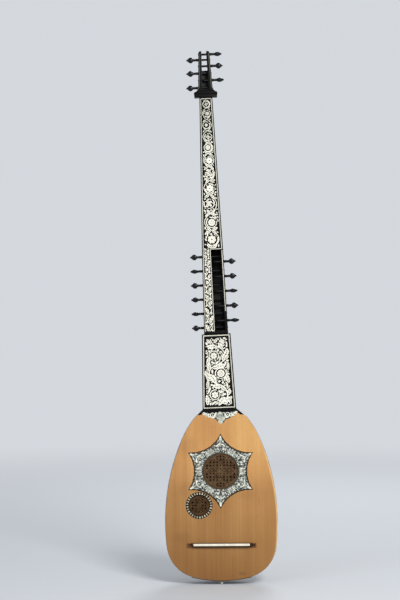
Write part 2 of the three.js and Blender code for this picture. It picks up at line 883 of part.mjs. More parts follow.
function fingerboardParts() {
  const front = -fingerboardThickness;
  const floor = front + veneerDepth;
  const board = plate(polygon(taperedOutline(neckStops, 0, 0)), front, 0);
  const frameOuter = taperedOutline(neckStops, frameInset, frameInset);
  const frameInner = taperedOutline(neckStops, frameInset + frameWidth, frameInset + frameWidth);
  const panel = taperedOutline(neckStops, panelInset, panelInset);
  const frameRecess = withHoles(
    taperedOutline(neckStops, frameInset - seatGap, frameInset - seatGap),
    [taperedOutline(neckStops, frameInset + frameWidth + seatGap, frameInset + frameWidth + seatGap)],
  );
  const panelRecess = polygon(taperedOutline(neckStops, panelInset - seatGap, panelInset - seatGap));
  const recesses = [frameRecess, panelRecess].map((shape) => plate(shape, front - cutOverrun, floor));
  return [
    meshFor('fingerboard', cutFrom(board, recesses), ebony),
    meshFor('fingerboard_frame', plate(withHoles(frameOuter, [frameInner]), front, floor - glueLine), ivory),
    meshFor('fingerboard_panel', plate(polygon(panel), front, floor - glueLine), ivory),
  ];
}

// Second neck, which carries the lower pegbox and ends under the upper nut
const armFoot = neckLength + seatGap;
const armStops = [[armFootHalfWidth, armFoot], [armWaistHalfWidth, slotTop], [armHeadHalfWidth, armLength]];
const armDepths = [armFootDepth, armWaistDepth, armHeadDepth];

function armHalfWidthAt(z) {
  const [foot, waist, head] = armStops;
  const [low, high] = z < slotTop ? [foot, waist] : [waist, head];
  return THREE.MathUtils.mapLinear(z, low[1], high[1], low[0], high[0]);
}

function slotLeftAt(z) {
  return THREE.MathUtils.mapLinear(z, slotFoot, slotTop, slotFootLeft, slotTopLeft);
}

function slotRightAt(z) {
  return armHalfWidthAt(z) - slotCheek;
}

function slotOutline(grow) {
  const foot = slotFoot - grow;
  const top = slotTop + grow;
  return [
    [slotLeftAt(foot) - grow, foot],
    [slotRightAt(foot) + grow, foot],
    [slotRightAt(top) + grow, top],
    [slotLeftAt(top) - grow, top],
  ];
}

function arm() {
  const rings = armStops.map(([half, z], place) => roundBackRing(half, armDepths[place], z, armSideShare));
  const slot = plate(polygon(slotOutline(0)), -cutOverrun, slotDepth);
  const bores = lowerPegs.map((peg) => pegBore(peg));
  return meshFor('arm', cutFrom(loft(rings), [slot, ...bores]), ebony);
}

function armPanelOutline(grow) {
  const edge = armPanelInset - grow;
  const low = armFoot + lowerNutHeight + 2 * armPanelInset - grow;
  const high = armLength - edge;
  const sill = slotTop + slotPanelBorder - grow;
  const strip = (z) => slotLeftAt(z) - slotPanelBorder + grow;
  return [
    [strip(low), low],
    [strip(sill), sill],
    [armHalfWidthAt(sill) - edge, sill],
    [armHalfWidthAt(high) - edge, high],
    [-armHalfWidthAt(high) + edge, high],
    [-armHalfWidthAt(sill) + edge, sill],
    [-armHalfWidthAt(low) + edge, low],
  ];
}

function cheekLineOutline(grow) {
  const foot = cheekLineFoot - grow;
  const top = slotTop - slotPanelBorder + grow;
  const right = (z) => armHalfWidthAt(z) - armPanelInset + grow;
  const left = (z) => armHalfWidthAt(z) - armPanelInset - stringingWidth - grow;
  return [[left(foot), foot], [right(foot), foot], [right(top), top], [left(top), top]];
}

function armVeneers() {
  const front = -armVeneerThickness;
  const ground = withHoles(taperedOutline(armStops, 0, 0), [
    slotOutline(0),
    armPanelOutline(seatGap),
    cheekLineOutline(seatGap),
  ]);
  return [
    meshFor('arm_veneer', plate(ground, front, 0), ebony),
    meshFor('arm_panel', plate(polygon(armPanelOutline(0)), front, 0), ivory),
    meshFor('cheek_stringing', plate(polygon(cheekLineOutline(0)), front, 0), ivory),
  ];
}

function lowerNut() {
  const front = -armVeneerThickness - lowerNutDepth;
  const top = lowerNutFoot + lowerNutHeight;
  const half = armHalfWidthAt(top);
  const outline = [[-half, lowerNutFoot], [half, lowerNutFoot], [half, top], [-half, top]];
  return meshFor('lower_nut', plate(polygon(outline), front, -armVeneerThickness), ebony);
}

// Upper nut, a block wider than the second neck, with a groove across its front
const upperNutFoot = armLength + seatGap;
const headFoot = upperNutFoot + upperNutHeight + seatGap;
const headTop = armLength + headLength;

function upperNut() {
  const corner = upperNutCorner;
  const top = upperNutFoot + upperNutHeight;
  const half = upperNutHalfWidth;
  const foot = upperNutFootHalfWidth;
  const outline = [
    [foot, upperNutFoot],
    [half, top - corner],
    [half - corner, top],
    [-half + corner, top],
    [-half, top - corner],
    [-foot, upperNutFoot],
  ];
  const block = plate(polygon(outline), -upperNutProud, headDepth);
  const mid = (upperNutFoot + top) / 2;
  const groove = new THREE.BoxGeometry(2 * (half + cutOverrun), 2 * upperNutGrooveDepth, upperNutGrooveWidth);
  groove.translate(0, -upperNutProud, mid);
  return meshFor('upper_nut', cutFrom(block, [groove]), ebony);
}

// Upper pegbox, two cheeks on a flared foot, open in front, above, and behind its upper half
function headOutline() {
  const waist = headFoot + headWaistRise;
  const flare = Array.from({ length: flareSteps + 1 }, (unused, step) => {
    const angle = halfTurn / 2 * step / flareSteps;
    const x = headFootHalfWidth - (headFootHalfWidth - headWaistHalfWidth) * Math.sin(angle);
    const z = waist - headWaistRise * Math.cos(angle);
    return [x, z];
  });
  const tips = [[headTopHalfWidth, headTop - cheekTipSlant], [headTopHalfWidth - cheekTipRound, headTop]];
  const right = [...flare, ...tips];
  const left = right.map(([x, z]) => [-x, z]);
  return [...right, ...left.toReversed()];
}

function channelOutline(foot) {
  const top = headTop + cutOverrun;
  const half = (z) => {
    return THREE.MathUtils.mapLinear(z, headFoot, headTop, channelFootHalfWidth, channelTopHalfWidth);
  };
  return [[-half(foot), foot], [half(foot), foot], [half(top), top], [-half(top), top]];
}

function upperPegbox() {
  const body = plate(polygon(headOutline()), 0, headDepth);
  const position = body.attributes.position;
  for (let place = 0; place < position.count; place += 1) {
    const share = (position.getZ(place) - headFoot) / (headTop - headFoot);
    const scale = THREE.MathUtils.lerp(1, headTopDepth / headDepth, share);
    position.setY(place, position.getY(place) * scale);
  }
  const channelShape = polygon(channelOutline(headFoot + channelFootRise));
  const windowShape = polygon(channelOutline(headFoot + channelBackRise));
  const channel = plate(channelShape, -cutOverrun, headDepth - channelFloor);
  const window = plate(windowShape, -cutOverrun, headDepth + cutOverrun);
  const bores = upperPegs.map((peg) => pegBore(peg));
  return meshFor('upper_pegbox', cutFrom(body, [channel, window, ...bores]), ebony);
}

// Pegs: side is -1 for the bass side and 1 for the treble side
function headHalfWidthAt(z) {
  const waist = headFoot + headWaistRise;
  return THREE.MathUtils.mapLinear(z, waist, headTop, headWaistHalfWidth, headTopHalfWidth);
}

function pegRow(name, side, heights, turns, depth, faceAt, reachAt) {
  return turns.map((turn, number) => {
    const z = heights[number];
    return { name: `${name}_${number + 1}`, side, z, turn, depth, face: faceAt(z), reach: reachAt(z) };
  });
}

function evenHeights(top, pitch, turns) {
  return turns.map((turn, number) => top - pitch * number);
}

const armThrough = (z) => 2 * armHalfWidthAt(z) + pegTipProud;
const armBlind = (z) => armHalfWidthAt(z) - slotLeftAt(z) + pegBlindReach;
const headThrough = (z) => 2 * headHalfWidthAt(z) + pegTipProud;
const lowerLeftHeights = evenHeights(lowerLeftTop, lowerLeftPitch, lowerLeftTurns);
const lowerRightHeights = evenHeights(lowerRightTop, lowerRightPitch, lowerRightTurns);
const upperLeftHeights = upperLeftShares.map((share) => armLength + headLength * share);
const upperRightHeights = upperRightShares.map((share) => armLength + headLength * share);

const lowerPegs = [
  ...pegRow('peg_lower_left', -1, lowerLeftHeights, lowerLeftTurns, lowerPegDepth,
    armHalfWidthAt, armThrough),
  ...pegRow('peg_lower_right', 1, lowerRightHeights, lowerRightTurns, lowerPegDepth,
    armHalfWidthAt, armBlind),
];
const upperPegs = [
  ...pegRow('peg_upper_left', -1, upperLeftHeights, upperLeftTurns, upperPegDepth,
    headHalfWidthAt, headThrough),
  ...pegRow('peg_upper_right', 1, upperRightHeights, upperRightTurns, upperPegDepth,
    headHalfWidthAt, headThrough),
];

// A bore is a faceted cone whose flats clear the corners of the peg's own facets
function pegBore(peg) {
  const slope = (pegFaceRadius - pegTipRadius) / peg.reach;
  const overrun = peg.reach > 2 * peg.face ? cutOverrun : seatGap;
  const outer = cutOverrun + peg.face * Math.abs(slope);
  const flats = Math.cos(halfTurn / pegSides);
  const faceRadius = (pegFaceRadius + slope * outer + pegClearance) / flats;
  const tipRadius = (pegTipRadius - slope * overrun + pegClearance) / flats;
  const length = peg.reach + outer + overrun;
  const bore = new THREE.CylinderGeometry(faceRadius, tipRadius, length, pegSides);
  bore.rotateZ(-halfTurn / 2);
  bore.translate(outer - length / 2, 0, 0);
  bore.rotateZ(peg.side > 0 ? 0 : halfTurn);
  bore.translate(peg.side * peg.face, peg.depth, peg.z);
  return bore;
}

// A peg lies along x, with x = 0 at the outer face of its cheek and the head on the positive side
function pegGeometry(peg) {
  const ring = (x, wide, thick) => {
    return Array.from({ length: pegSides }, (unused, side) => {
      const angle = fullTurn * side / pegSides;
      return new THREE.Vector3(x, thick * Math.cos(angle), wide * Math.sin(angle));
    });
  };
  const shaft = [
    ring(-peg.reach, pegTipRadius, pegTipRadius),
    ring(0, pegFaceRadius, pegFaceRadius),
    ring(pegStand, pegNeckRadius, pegNeckRadius),
  ];
  const head = pegHeadShares.map(([along, wide, thick]) => {
    return ring(pegStand + pegHeadLength * along, pegHeadHalfWidth * wide, pegHeadHalfThickness * thick);
  });
  return loft([...shaft, ...head]);
}

function pegMesh(peg) {
  const mesh = meshFor(peg.name, pegGeometry(peg), ebony);
  mesh.position.set(peg.side * peg.face, peg.depth, peg.z);
  mesh.rotation.set(THREE.MathUtils.degToRad(peg.turn), 0, peg.side > 0 ? 0 : halfTurn);
  return mesh;
}

// Assembly
function bodyGroup() {
  const body = new THREE.Group();
  body.add(
    soundboard(),
    ...starInlays(),
    smallRoseRing(),
    ...collarAndBeard(),
    rosette('rose_main', roseSide, roseHeight, roseRadius, roseCellPitch),
    rosette('rose_small', smallRoseSide, smallRoseHeight, smallRoseRadius, smallRoseCellPitch),
    ...barHeights().map((height, number) => soundboardBar(height, number)),
    ...bridgeParts(),
    ...bowlRibs(),
    neckBlock(),
    tailBlock(),
    endClasp(),
    endButton(),
  );
  return body;
}

function neckGroup() {
  const group = new THREE.Group();
  group.position.set(neckShift, 0, neckJointHeight);
  group.rotation.y = -neckLean;
  group.add(
    neck(),
    ...fingerboardParts(),
    arm(),
    ...armVeneers(),
    lowerNut(),
    upperNut(),
    upperPegbox(),
    ...lowerPegs.map((peg) => pegMesh(peg)),
    ...upperPegs.map((peg) => pegMesh(peg)),
  );
  return group;
}

// The origin is the middle of the end button's foot
const theorbo = new THREE.Group();
theorbo.position.y = -endButtonDepth;
theorbo.add(bodyGroup(), neckGroup());

export default theorbo;
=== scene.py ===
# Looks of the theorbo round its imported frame. Lengths are in millimetres until a point is placed.
import contextlib
import math
import random

import bmesh
import bpy
import numpy as np
from mathutils import Matrix, Vector


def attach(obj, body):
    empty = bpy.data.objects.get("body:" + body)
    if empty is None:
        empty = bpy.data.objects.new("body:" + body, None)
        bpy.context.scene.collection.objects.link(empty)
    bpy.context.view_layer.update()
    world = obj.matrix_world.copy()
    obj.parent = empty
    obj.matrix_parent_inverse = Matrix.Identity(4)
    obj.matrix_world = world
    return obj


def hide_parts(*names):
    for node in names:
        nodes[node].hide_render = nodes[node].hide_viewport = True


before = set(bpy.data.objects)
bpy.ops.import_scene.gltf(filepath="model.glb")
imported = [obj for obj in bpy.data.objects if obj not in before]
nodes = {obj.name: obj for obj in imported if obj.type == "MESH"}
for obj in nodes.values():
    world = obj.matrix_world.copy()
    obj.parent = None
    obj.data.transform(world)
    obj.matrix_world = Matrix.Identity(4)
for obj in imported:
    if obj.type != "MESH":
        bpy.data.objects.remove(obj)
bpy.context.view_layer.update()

MM = 0.001
TURN = 2 * math.pi
BODY = "theorbo"

# Photograph's frame
IMAGE_HEIGHT = 600
PIXEL = 3.45
CAMERA_X = -70.4
CAMERA_Z = 983
CAMERA_DISTANCE = 5500
CAMERA_ROLL = -0.3
SENSOR = 36

# Body
END_BUTTON_DEPTH = 9
END_BUTTON_HEIGHT = 14
BODY_HALF_WIDTH = 194
BOTTOM_ARC = 417
CORNER_ARC = 122.5
SIDE_ARC = 740
SHOULDER_ARC = 344
WIDEST = 212
SIDE_TOP = 500
SHOULDER = 578
NECK_JOINT = 606
NECK_SHIFT = -5.3
NECK_LEAN = math.radians(2.2)

# Bowl
RIB_COUNT = 11
RIB_THICKNESS = 1.6
RIB_JOINT = 0.3
BOWL_SKIN = 0.36
BOWL_DEPTH = 140
BOWL_DEPTH_AT_NECK = 34
BOWL_BULGE = math.radians(11.5)
DEPTH_TAPER_START = 330
TAIL_OPENING = 17
RIB_TRIM = 0.25
SPACER_HALF = 0.38
SPACER_RISE = 0.05
LINING_HALF = 4
LINING_GAP, LINING_BACK = 0.1, 0.5
LINING_FOOT, LINING_TOP = 60, 520

# Soundboard, and the layers of the pearl work in it, each from its front to its back
BOARD_FRONT = -2
BOARD_EDGE_RADIUS = 1.3
INLAY_FRONT = -2.15
INLAY_BACK = -0.95
GROUND_LAYER = (INLAY_FRONT + 0.1, INLAY_BACK - 0.15)
PEARL_LAYER = (INLAY_FRONT, INLAY_FRONT + 0.3)
BRIGHT_LAYER = (INLAY_FRONT - 0.063, INLAY_FRONT + 0.3)
STAR_LINES_LAYER = (INLAY_FRONT - 0.19, INLAY_FRONT - 0.13)
BEARD_LINES_LAYER = (INLAY_FRONT - 0.19, INLAY_FRONT - 0.12)
ROSE_RING_LAYER = (INLAY_FRONT - 0.35, -0.4)

# Roses, star and ring
ROSE_X, ROSE_Z, ROSE_RADIUS = -2.5, 392, 61
SMALL_X, SMALL_Z, SMALL_RADIUS = -77, 274, 35
SMALL_RING = 46.5
RING_PIECES = 29
# inner radius, outer radius and half the angle of a ring's piece and of the short one outside it, and its point
RING_SHAPES = ((37.6, 43.6, 0.052), (44.6, 45.7, 0.03))
RING_POINT = 0.5
ROSE_LIP = 6
ROSE_THICKNESS = 1.6
ROSE_FRONT = 0.02
STRAP_BACK = 0.3
ROSE_RING_OUT, ROSE_RING_IN = 1.3, -0.6
ROSE_RING_BEVEL = 0.25
STAR_RADIUS = 129
STAR_WAIST = 91
STAR_POINTS = 6
STAR_GROUND_INSET = 2.7
STAR_MOSAIC_INSET = 3.1
STAR_MOSAIC_GAP = 1.7

# Bridge
BRIDGE_Z = 137
BRIDGE_LENGTH = 240
BRIDGE_BAR_LENGTH = 200
BRIDGE_BAR_HALF = 7.25
BRIDGE_BAR_HEIGHT = 8
BRIDGE_BAR_CORNER = 2.2
BRIDGE_BAR_BEVEL = 0.9
BRIDGE_BLOCK_HEIGHT = 4
BRIDGE_BLOCK_BEVEL = 0.7
BRIDGE_BLOCK_GAP = 0.2
CARVING_RISE, CARVING_ROOT, CARVING_STEP = 0.25, 0.3, 0.01

# Neck, second neck and pegboxes, in the neck's own frame
NECK_LENGTH = 260
NECK_FOOT_HALF = 58.3
NECK_HEAD_HALF = 49.5
PANEL_INSET = 11.5
PANEL_FRONT = -2
PANEL_GROUND = (PANEL_FRONT + 0.12, -1.15)
PANEL_IVORY = (PANEL_FRONT, PANEL_FRONT + 0.2)
PANEL_LINES = (PANEL_FRONT - 0.13, PANEL_FRONT - 0.05)
PANEL_MARGIN = 2
PANEL_EDGE_GAP = 0.8
SEAT_GAP = 0.3
ARM_LENGTH = 1077
ARM_FOOT = 260.3
ARM_FOOT_HALF = 41.6
ARM_WAIST_HALF = 36.6
ARM_HEAD_HALF = 22.3
ARM_PANEL_INSET = 3.4
ARM_PANEL_POCKET = 12.6
ARM_FRONT = -1.2
ARM_GROUND = (ARM_FRONT + 0.12, -0.02)
ARM_LINE_LAYER = (ARM_FRONT - 0.02, ARM_FRONT + 0.3)
ARM_SCROLL_LAYER = (ARM_FRONT - 0.03, ARM_FRONT + 0.3)
ARM_ENGRAVING_LAYER = (ARM_FRONT - 0.22, ARM_FRONT - 0.12)
ARM_PANEL_GAP = 0.6
SCROLL_MARGIN = 0.5
CHAIN_MARGIN = 1
SLOT_FOOT = 272
SLOT_TOP = 550
SLOT_FOOT_LEFT = -2.4
SLOT_TOP_LEFT = -4.9
SLOT_RIM = 2
STRINGING = 2.4
LINE_GAP = 2.2
LINE_STEP = 40
NUT_TOP = 267.5
HEAD_FOOT = 1097.1
HEAD_TOP = 1237
HEAD_LENGTH = HEAD_TOP - ARM_LENGTH
HEAD_WAIST_RISE = 20
HEAD_WAIST_HALF = 24.6
HEAD_TOP_HALF = 19.2
HEAD_LINE_HALF = 0.95
HEAD_LINE_LAYER = (-0.12, 0.3)
HEAD_LINE_INSET = 4.2
HEAD_LINE_SPREAD = 9
HEAD_LINE_ENDS = (HEAD_FOOT + 7, HEAD_TOP - 9)

# Pegs
PEG_SIDES = 24
PEG_FACE = 4.3
PEG_TIP = 3.2
PEG_STAND = 15.5
PEG_HEAD = 26
PEG_HEAD_WIDE = 10.4
PEG_HEAD_THICK = 6.8
PEG_TIP_LENGTH = 0.6
LOWER_PEG_DEPTH = 12.5
UPPER_PEG_DEPTH = 10
SHAFT_PAST_CHEEK = 1
SHAFT_PAST_SLOT = 14
LEFT_PEG_TOP, LEFT_PEG_PITCH = 527, 49
RIGHT_PEG_TOP, RIGHT_PEG_PITCH = 509, 51

# Ornament: cell of the raster, and the steps in height between neighbouring shapes
RASTER_CELL = 0.5
SHAPE_STEP = 0.006
SHAPE_CYCLE = 9
BAND_MARGIN = 0.3

# Mesh work: distance of points that are one, angle of faces that are one, angle of a worked edge, and points of
# a circle that is seen large
WELD = 0.001 * MM
FLAT = math.radians(1)
EDGE_ANGLE = math.radians(38)
FINE = 96


def body_point(x, y, z):
    return Vector((x * MM, (y - END_BUTTON_DEPTH) * MM, z * MM))


def neck_point(x, y, z):
    across, up = math.cos(NECK_LEAN), math.sin(NECK_LEAN)
    return body_point(NECK_SHIFT + x * across - z * up, y, NECK_JOINT + x * up + z * across)


def bridge_point(x, y, z):
    return body_point(x, y, BRIDGE_Z + z)


def mix(a, b, share):
    return a + (b - a) * share


def between(value, low, high, at_low, at_high):
    return at_low + (value - low) * (at_high - at_low) / (high - low)


def rising(value, low, high):
    """0 below low, 1 above high, and a smooth step between them."""
    share = min(1, max(0, (value - low) / (high - low)))
    return share * share * (3 - 2 * share)


def falling(value, low, high):
    return rising(-value, -high, -low)


def polar(x, z, radius, angle):
    """The point at a distance and in a direction from x, z."""
    return (x + radius * math.cos(angle), z + radius * math.sin(angle))


def mirrored(aim, side):
    """A direction of the right side, or its mirror image for the left side."""
    return aim if side > 0 else math.pi - aim


def make_camera():
    data = bpy.data.cameras.new("camera")
    data.sensor_width = SENSOR
    data.lens = SENSOR / 2 * (CAMERA_DISTANCE - END_BUTTON_DEPTH + BOARD_FRONT) / (IMAGE_HEIGHT * PIXEL / 2)
    camera = bpy.data.objects.new("camera", data)
    camera.location = (CAMERA_X * MM, -CAMERA_DISTANCE * MM, CAMERA_Z * MM)
    turn = Matrix.Rotation(math.radians(90), 4, "X") @ Matrix.Rotation(math.radians(CAMERA_ROLL), 4, "Z")
    camera.rotation_euler = turn.to_euler()
    bpy.context.scene.collection.objects.link(camera)
    bpy.context.scene.camera = camera


make_camera()


def body_stations():
    """Half the body's outline from tail to neck: width, height, direction outward and lean of each station."""
    bottom_centre, side_centre = END_BUTTON_HEIGHT + BOTTOM_ARC, BODY_HALF_WIDTH - SIDE_ARC
    # the corner's arc touches the arcs of bottom and side
    across, up = -side_centre, bottom_centre - WIDEST
    from_bottom, from_side = BOTTOM_ARC - CORNER_ARC, SIDE_ARC - CORNER_ARC
    span = math.hypot(across, up)
    along = (from_side ** 2 - from_bottom ** 2 + span ** 2) / (2 * span)
    off = math.sqrt(from_side ** 2 - along ** 2)
    corner_x = side_centre + (across * along + up * off) / span
    corner_z = WIDEST + (up * along - across * off) / span
    start = math.atan2(corner_z - bottom_centre, corner_x)
    end = math.atan2(corner_z - WIDEST, corner_x - side_centre)
    # the shoulder's arc carries on from the side's arc
    side_top = math.asin((SIDE_TOP - WIDEST) / SIDE_ARC)
    top_x, top_z = polar(side_centre, WIDEST, SIDE_ARC - SHOULDER_ARC, side_top)
    shoulder = math.asin((SHOULDER - top_z) / SHOULDER_ARC)
    tail = -math.acos(TAIL_OPENING / BOTTOM_ARC)
    arcs = ((0, bottom_centre, BOTTOM_ARC, tail, start, 10), (corner_x, corner_z, CORNER_ARC, start, end, 14),
            (side_centre, WIDEST, SIDE_ARC, end, side_top, 20),
            (top_x, top_z, SHOULDER_ARC, side_top, shoulder, 8))
    stations = []
    for x, z, radius, low, high, steps in arcs:
        for k in range(steps):
            angle = low + (high - low) * k / steps
            stations.append((*polar(x, z, radius, angle), math.cos(angle), math.sin(angle), 0))
    shoulder_width = top_x + SHOULDER_ARC * math.cos(shoulder)
    stations.append((shoulder_width, SHOULDER, math.cos(shoulder), math.sin(shoulder), 0))
    run, inward = NECK_JOINT - SHOULDER, shoulder_width - NECK_FOOT_HALF
    length = math.hypot(run, inward)
    stations.append((NECK_FOOT_HALF, NECK_JOINT, run / length, inward / length, 1))
    return stations


# Materials
WHITE = (1, 1, 1)
BLACK = (0, 0, 0)
COAT_ROUGHNESS = 0.25
NOISE_LOW, NOISE_HIGH = 0.3, 0.7


def linear(*channels):
    """The linear colour of screen values from 0 to 255."""
    shares = [value / 255 for value in channels]
    return tuple(share / 12.92 if share <= 0.04045 else ((share + 0.055) / 1.055) ** 2.4 for share in shares)


class Nodes:
    """Short calls for the nodes of a tree."""

    def __init__(self, tree):
        self.tree = tree

    def feed(self, target, value):
        if isinstance(value, bpy.types.NodeSocket):
            self.tree.links.new(value, target)
        else:
            target.default_value = (*value, 1) if target.type == "RGBA" else value

    def node(self, kind, inputs=None, **settings):
        """A new node. Each input is given by its name or place, as a value or as another node's output."""
        made = self.tree.nodes.new(kind)
        for key, value in settings.items():
            setattr(made, key, value)
        for key, value in (inputs or {}).items():
            self.feed(made.inputs[key], value)
        return made

    def maths(self, how, first, second=0):
        return self.node("ShaderNodeMath", {0: first, 1: second}, operation=how).outputs["Value"]

    def seen(self):
        """1 for the rays that show the background: camera, glossy and transmission rays."""
        rays = self.node("ShaderNodeLightPath").outputs
        seen = self.maths("MAXIMUM", rays["Is Camera Ray"], rays["Is Glossy Ray"])
        return self.maths("MAXIMUM", seen, rays["Is Transmission Ray"])

    def mix_shaders(self, share, first, second, output):
        mixed = self.node("ShaderNodeMixShader", {0: share, 1: first.outputs[0], 2: second.outputs[0]})
        self.feed(self.tree.nodes[output].inputs["Surface"], mixed.outputs[0])


class Paint(Nodes):
    """A node material with its main shader."""

    def __init__(self, name, roughness, coat=0, specular=0.5):
        self.material = bpy.data.materials.new(name)
        self.material.use_nodes = True
        super().__init__(self.material.node_tree)
        self.shader = self.tree.nodes["Principled BSDF"]
        self.set("Roughness", roughness)
        self.set("Coat Weight", coat)
        self.set("Coat Roughness", COAT_ROUGHNESS)
        self.set("Specular IOR Level", specular)
        self.place = self.node("ShaderNodeTexCoord").outputs["Object"]

    def set(self, name, value):
        self.feed(self.shader.inputs[name], value)

    def axis(self, name):
        return self.node("ShaderNodeSeparateXYZ", {"Vector": self.place}).outputs[name]

    def noise(self, scale, detail=3):
        spot = self.node("ShaderNodeMapping", {"Vector": self.place, "Scale": scale}).outputs["Vector"]
        inputs = {"Vector": spot, "Scale": 1, "Detail": detail, "Roughness": 0.55}
        return self.node("ShaderNodeTexNoise", inputs).outputs["Fac"]

    def ramp(self, source, stops):
        made = self.node("ShaderNodeValToRGB", {"Fac": source})
        band = made.color_ramp
        while len(band.elements) < len(stops):
            band.elements.new(0.5)
        for element, (place, colour) in zip(band.elements, stops):
            element.position = place
            element.color = (*colour, 1)
        return made.outputs["Color"]

    def rescale(self, source, low, high, at_low=0, at_high=1, how="LINEAR"):
        inputs = {"Value": source, "From Min": low, "From Max": high, "To Min": at_low, "To Max": at_high}
        return self.node("ShaderNodeMapRange", inputs, interpolation_type=how).outputs["Result"]

    def step(self, source, low, high, at_low=0, at_high=1):
        return self.rescale(source, low, high, at_low, at_high, "SMOOTHSTEP")

    def distance(self, source, place):
        return self.maths("ABSOLUTE", self.maths("SUBTRACT", source, place))

    def product(self, first, *others):
        for other in others:
            first = self.maths("MULTIPLY", first, other)
        return first

    def blend(self, how, share, first, second):
        inputs = {0: share, 6: first, 7: second}
        return self.node("ShaderNodeMix", inputs, data_type="RGBA", blend_type=how).outputs[2]

    def tint(self, tone, share, source, stops):
        """Multiplies the tone by a ramp of colours that follows the source."""
        return self.blend("MULTIPLY", share, tone, self.ramp(source, stops))

    def finish(self, tone, cloud, smoothest, roughest, relief, height, strength=0.3):
        """Sets the tone, a roughness that follows the clouds, and the relief's bump."""
        self.set("Base Color", tone)
        self.set("Roughness", self.rescale(cloud, NOISE_LOW, NOISE_HIGH, smoothest, roughest))
        bump = self.node("ShaderNodeBump", {"Strength": strength, "Distance": height * MM, "Height": relief})
        self.set("Normal", bump.outputs["Normal"])
        return self.material


# Soundboard's shading, in metres: the size that it is drawn in, and its tone up the board and from left to
# right, which is painted shade, darker towards the foot and towards the left side
BOARD_TOP, BOARD_SIDE = 0.6, 0.2
BOARD_TONE = [(0.3, linear(202, 148, 90)), (0.5, linear(209, 156, 95)), (0.7, linear(217, 166, 104))]
# painted shade up the board, darker towards its foot, and across it, darker towards its left side
BOARD_PAINTED_SHADE_UP = [(0, (0.45, 0.39, 0.29)), (0.12, (0.53, 0.49, 0.385)), (0.32, (0.63, 0.6, 0.51)),
              (0.53, (0.725, 0.705, 0.645)), (0.66, (0.91, 0.9, 0.87)), (0.8, (0.99, 0.99, 0.97))]
BOARD_PAINTED_SHADE_ACROSS = [(0, (0.86, 0.84, 0.82)), (0.45, (0.9, 0.89, 0.88)), (0.85, WHITE)]
# painted highlight: a brighter patch high on the right of the board
BOARD_PAINTED_HIGHLIGHT = (0.995, 1.04, 1.02)
BOARD_RIM_LIGHT = linear(238, 196, 136)
# its joint lines and cracks: place across, depth, foot and top
BOARD_LINES = [
    (-0.0025, 0.26, 0, 0.6), (-0.0195, 0.36, 0, 0.6), (-0.058, 0.22, 0, 0.6), (0.0625, 0.22, 0, 0.6),
    (0.117, 0.16, 0, 0.6), (-0.122, 0.18, 0, 0.6), (0.1302, 0.4, 0.272, 0.304), (0.1215, 0.3, 0.226, 0.244),
    (0.038, 0.2, 0.0, 0.1), (-0.034, 0.2, 0.0, 0.09)]
LINE_CORE, LINE_EDGE, LINE_FADE = 0.0002, 0.0012, 0.006
# its stains: centre, reach across and up, depth
BOARD_STAINS = [(0.071, 0.038, 0.014, 0.006, 0.3), (0.083, 0.31, 0.03, 0.02, 0.1),
                (-0.135, 0.165, 0.035, 0.02, 0.1), (-0.12, 0.33, 0.03, 0.03, 0.1),
                (-0.118, 0.478, 0.04, 0.035, 0.17)]
STAIN_TONE = (0.3, 0.2, 0.14)
# height in millimetres under which the outline turns too fast for the curve of the rim's light
TAIL_RIM = 25


def spruce_material():
    paint = Paint("soundboard_spruce", 0.5, coat=0.08, specular=0.35)
    streak, rings, cloud = paint.noise((26, 1, 0.7)), paint.noise((560, 1, 1.6), 2), paint.noise((8, 1, 5), 4)
    across, height = paint.axis("X"), paint.axis("Z")
    rise, aside = paint.rescale(height, 0, BOARD_TOP), paint.rescale(across, -BOARD_SIDE, BOARD_SIDE)
    tone = paint.ramp(streak, BOARD_TONE)
    tone = paint.tint(tone, 0.4, rings, [(0.35, (0.8, 0.74, 0.66)), (0.62, WHITE)])
    tone = paint.tint(tone, 0.85, cloud, [(0.3, (0.84, 0.78, 0.72)), (0.65, (1.01, 1.01, 1.01))])
    # painted shade: the board darker towards its foot and towards its left side
    tone = paint.tint(tone, 1, rise, BOARD_PAINTED_SHADE_UP)
    tone = paint.tint(tone, 0.8, aside, BOARD_PAINTED_SHADE_ACROSS)
    # painted highlight: the board brightened high on its right side
    glow = paint.product(paint.step(height, 0.37, 0.5), paint.step(across, 0, 0.08))
    tone = paint.blend("MULTIPLY", glow, tone, BOARD_PAINTED_HIGHLIGHT)
    fainter = paint.step(height, 0.4, 0.48, 1, 0.35)
    for place, depth, foot, top in BOARD_LINES:
        middle, half = (foot + top) / 2, (top - foot) / 2
        line = paint.step(paint.distance(across, place), LINE_CORE, LINE_EDGE, 1, 0)
        ends = paint.step(paint.distance(height, middle), half - LINE_FADE, half, 1, 0)
        tone = paint.blend("MULTIPLY", paint.product(line, ends, fainter, depth), tone, BLACK)
    for x, z, wide, tall, depth in BOARD_STAINS:
        off = [paint.maths("POWER", paint.maths("DIVIDE", paint.maths("SUBTRACT", source, centre), reach), 2)
               for source, centre, reach in ((across, x, wide), (height, z, tall))]
        stain = paint.step(paint.maths("ADD", *off), 0.1, 1.4, depth, 0)
        tone = paint.blend("MULTIPLY", stain, tone, STAIN_TONE)
    # light on the rounded edge of the right side, which follows the outline
    rim = paint.node("ShaderNodeFloatCurve", {"Value": rise})
    curve = rim.mapping.curves[0]
    places = [(up * MM / BOARD_TOP, width * MM / BOARD_SIDE)
              for width, up, *_ in body_stations()[::3] if up > TAIL_RIM]
    curve.points[0].location, curve.points[1].location = places[0], places[-1]
    for place in places[1:-1]:
        curve.points.new(*place)
    rim.mapping.update()
    inward = paint.maths("SUBTRACT", paint.product(rim.outputs["Value"], BOARD_SIDE), across)
    lit = paint.product(paint.step(inward, 0.0008, 0.0075, 0.75, 0), paint.step(height, 0.05, 0.2),
                        paint.step(height, 0.4, 0.53, 1, 0))
    tone = paint.blend("MIX", lit, tone, BOARD_RIM_LIGHT)
    return paint.finish(tone, cloud, 0.42, 0.56, rings, 0.04)


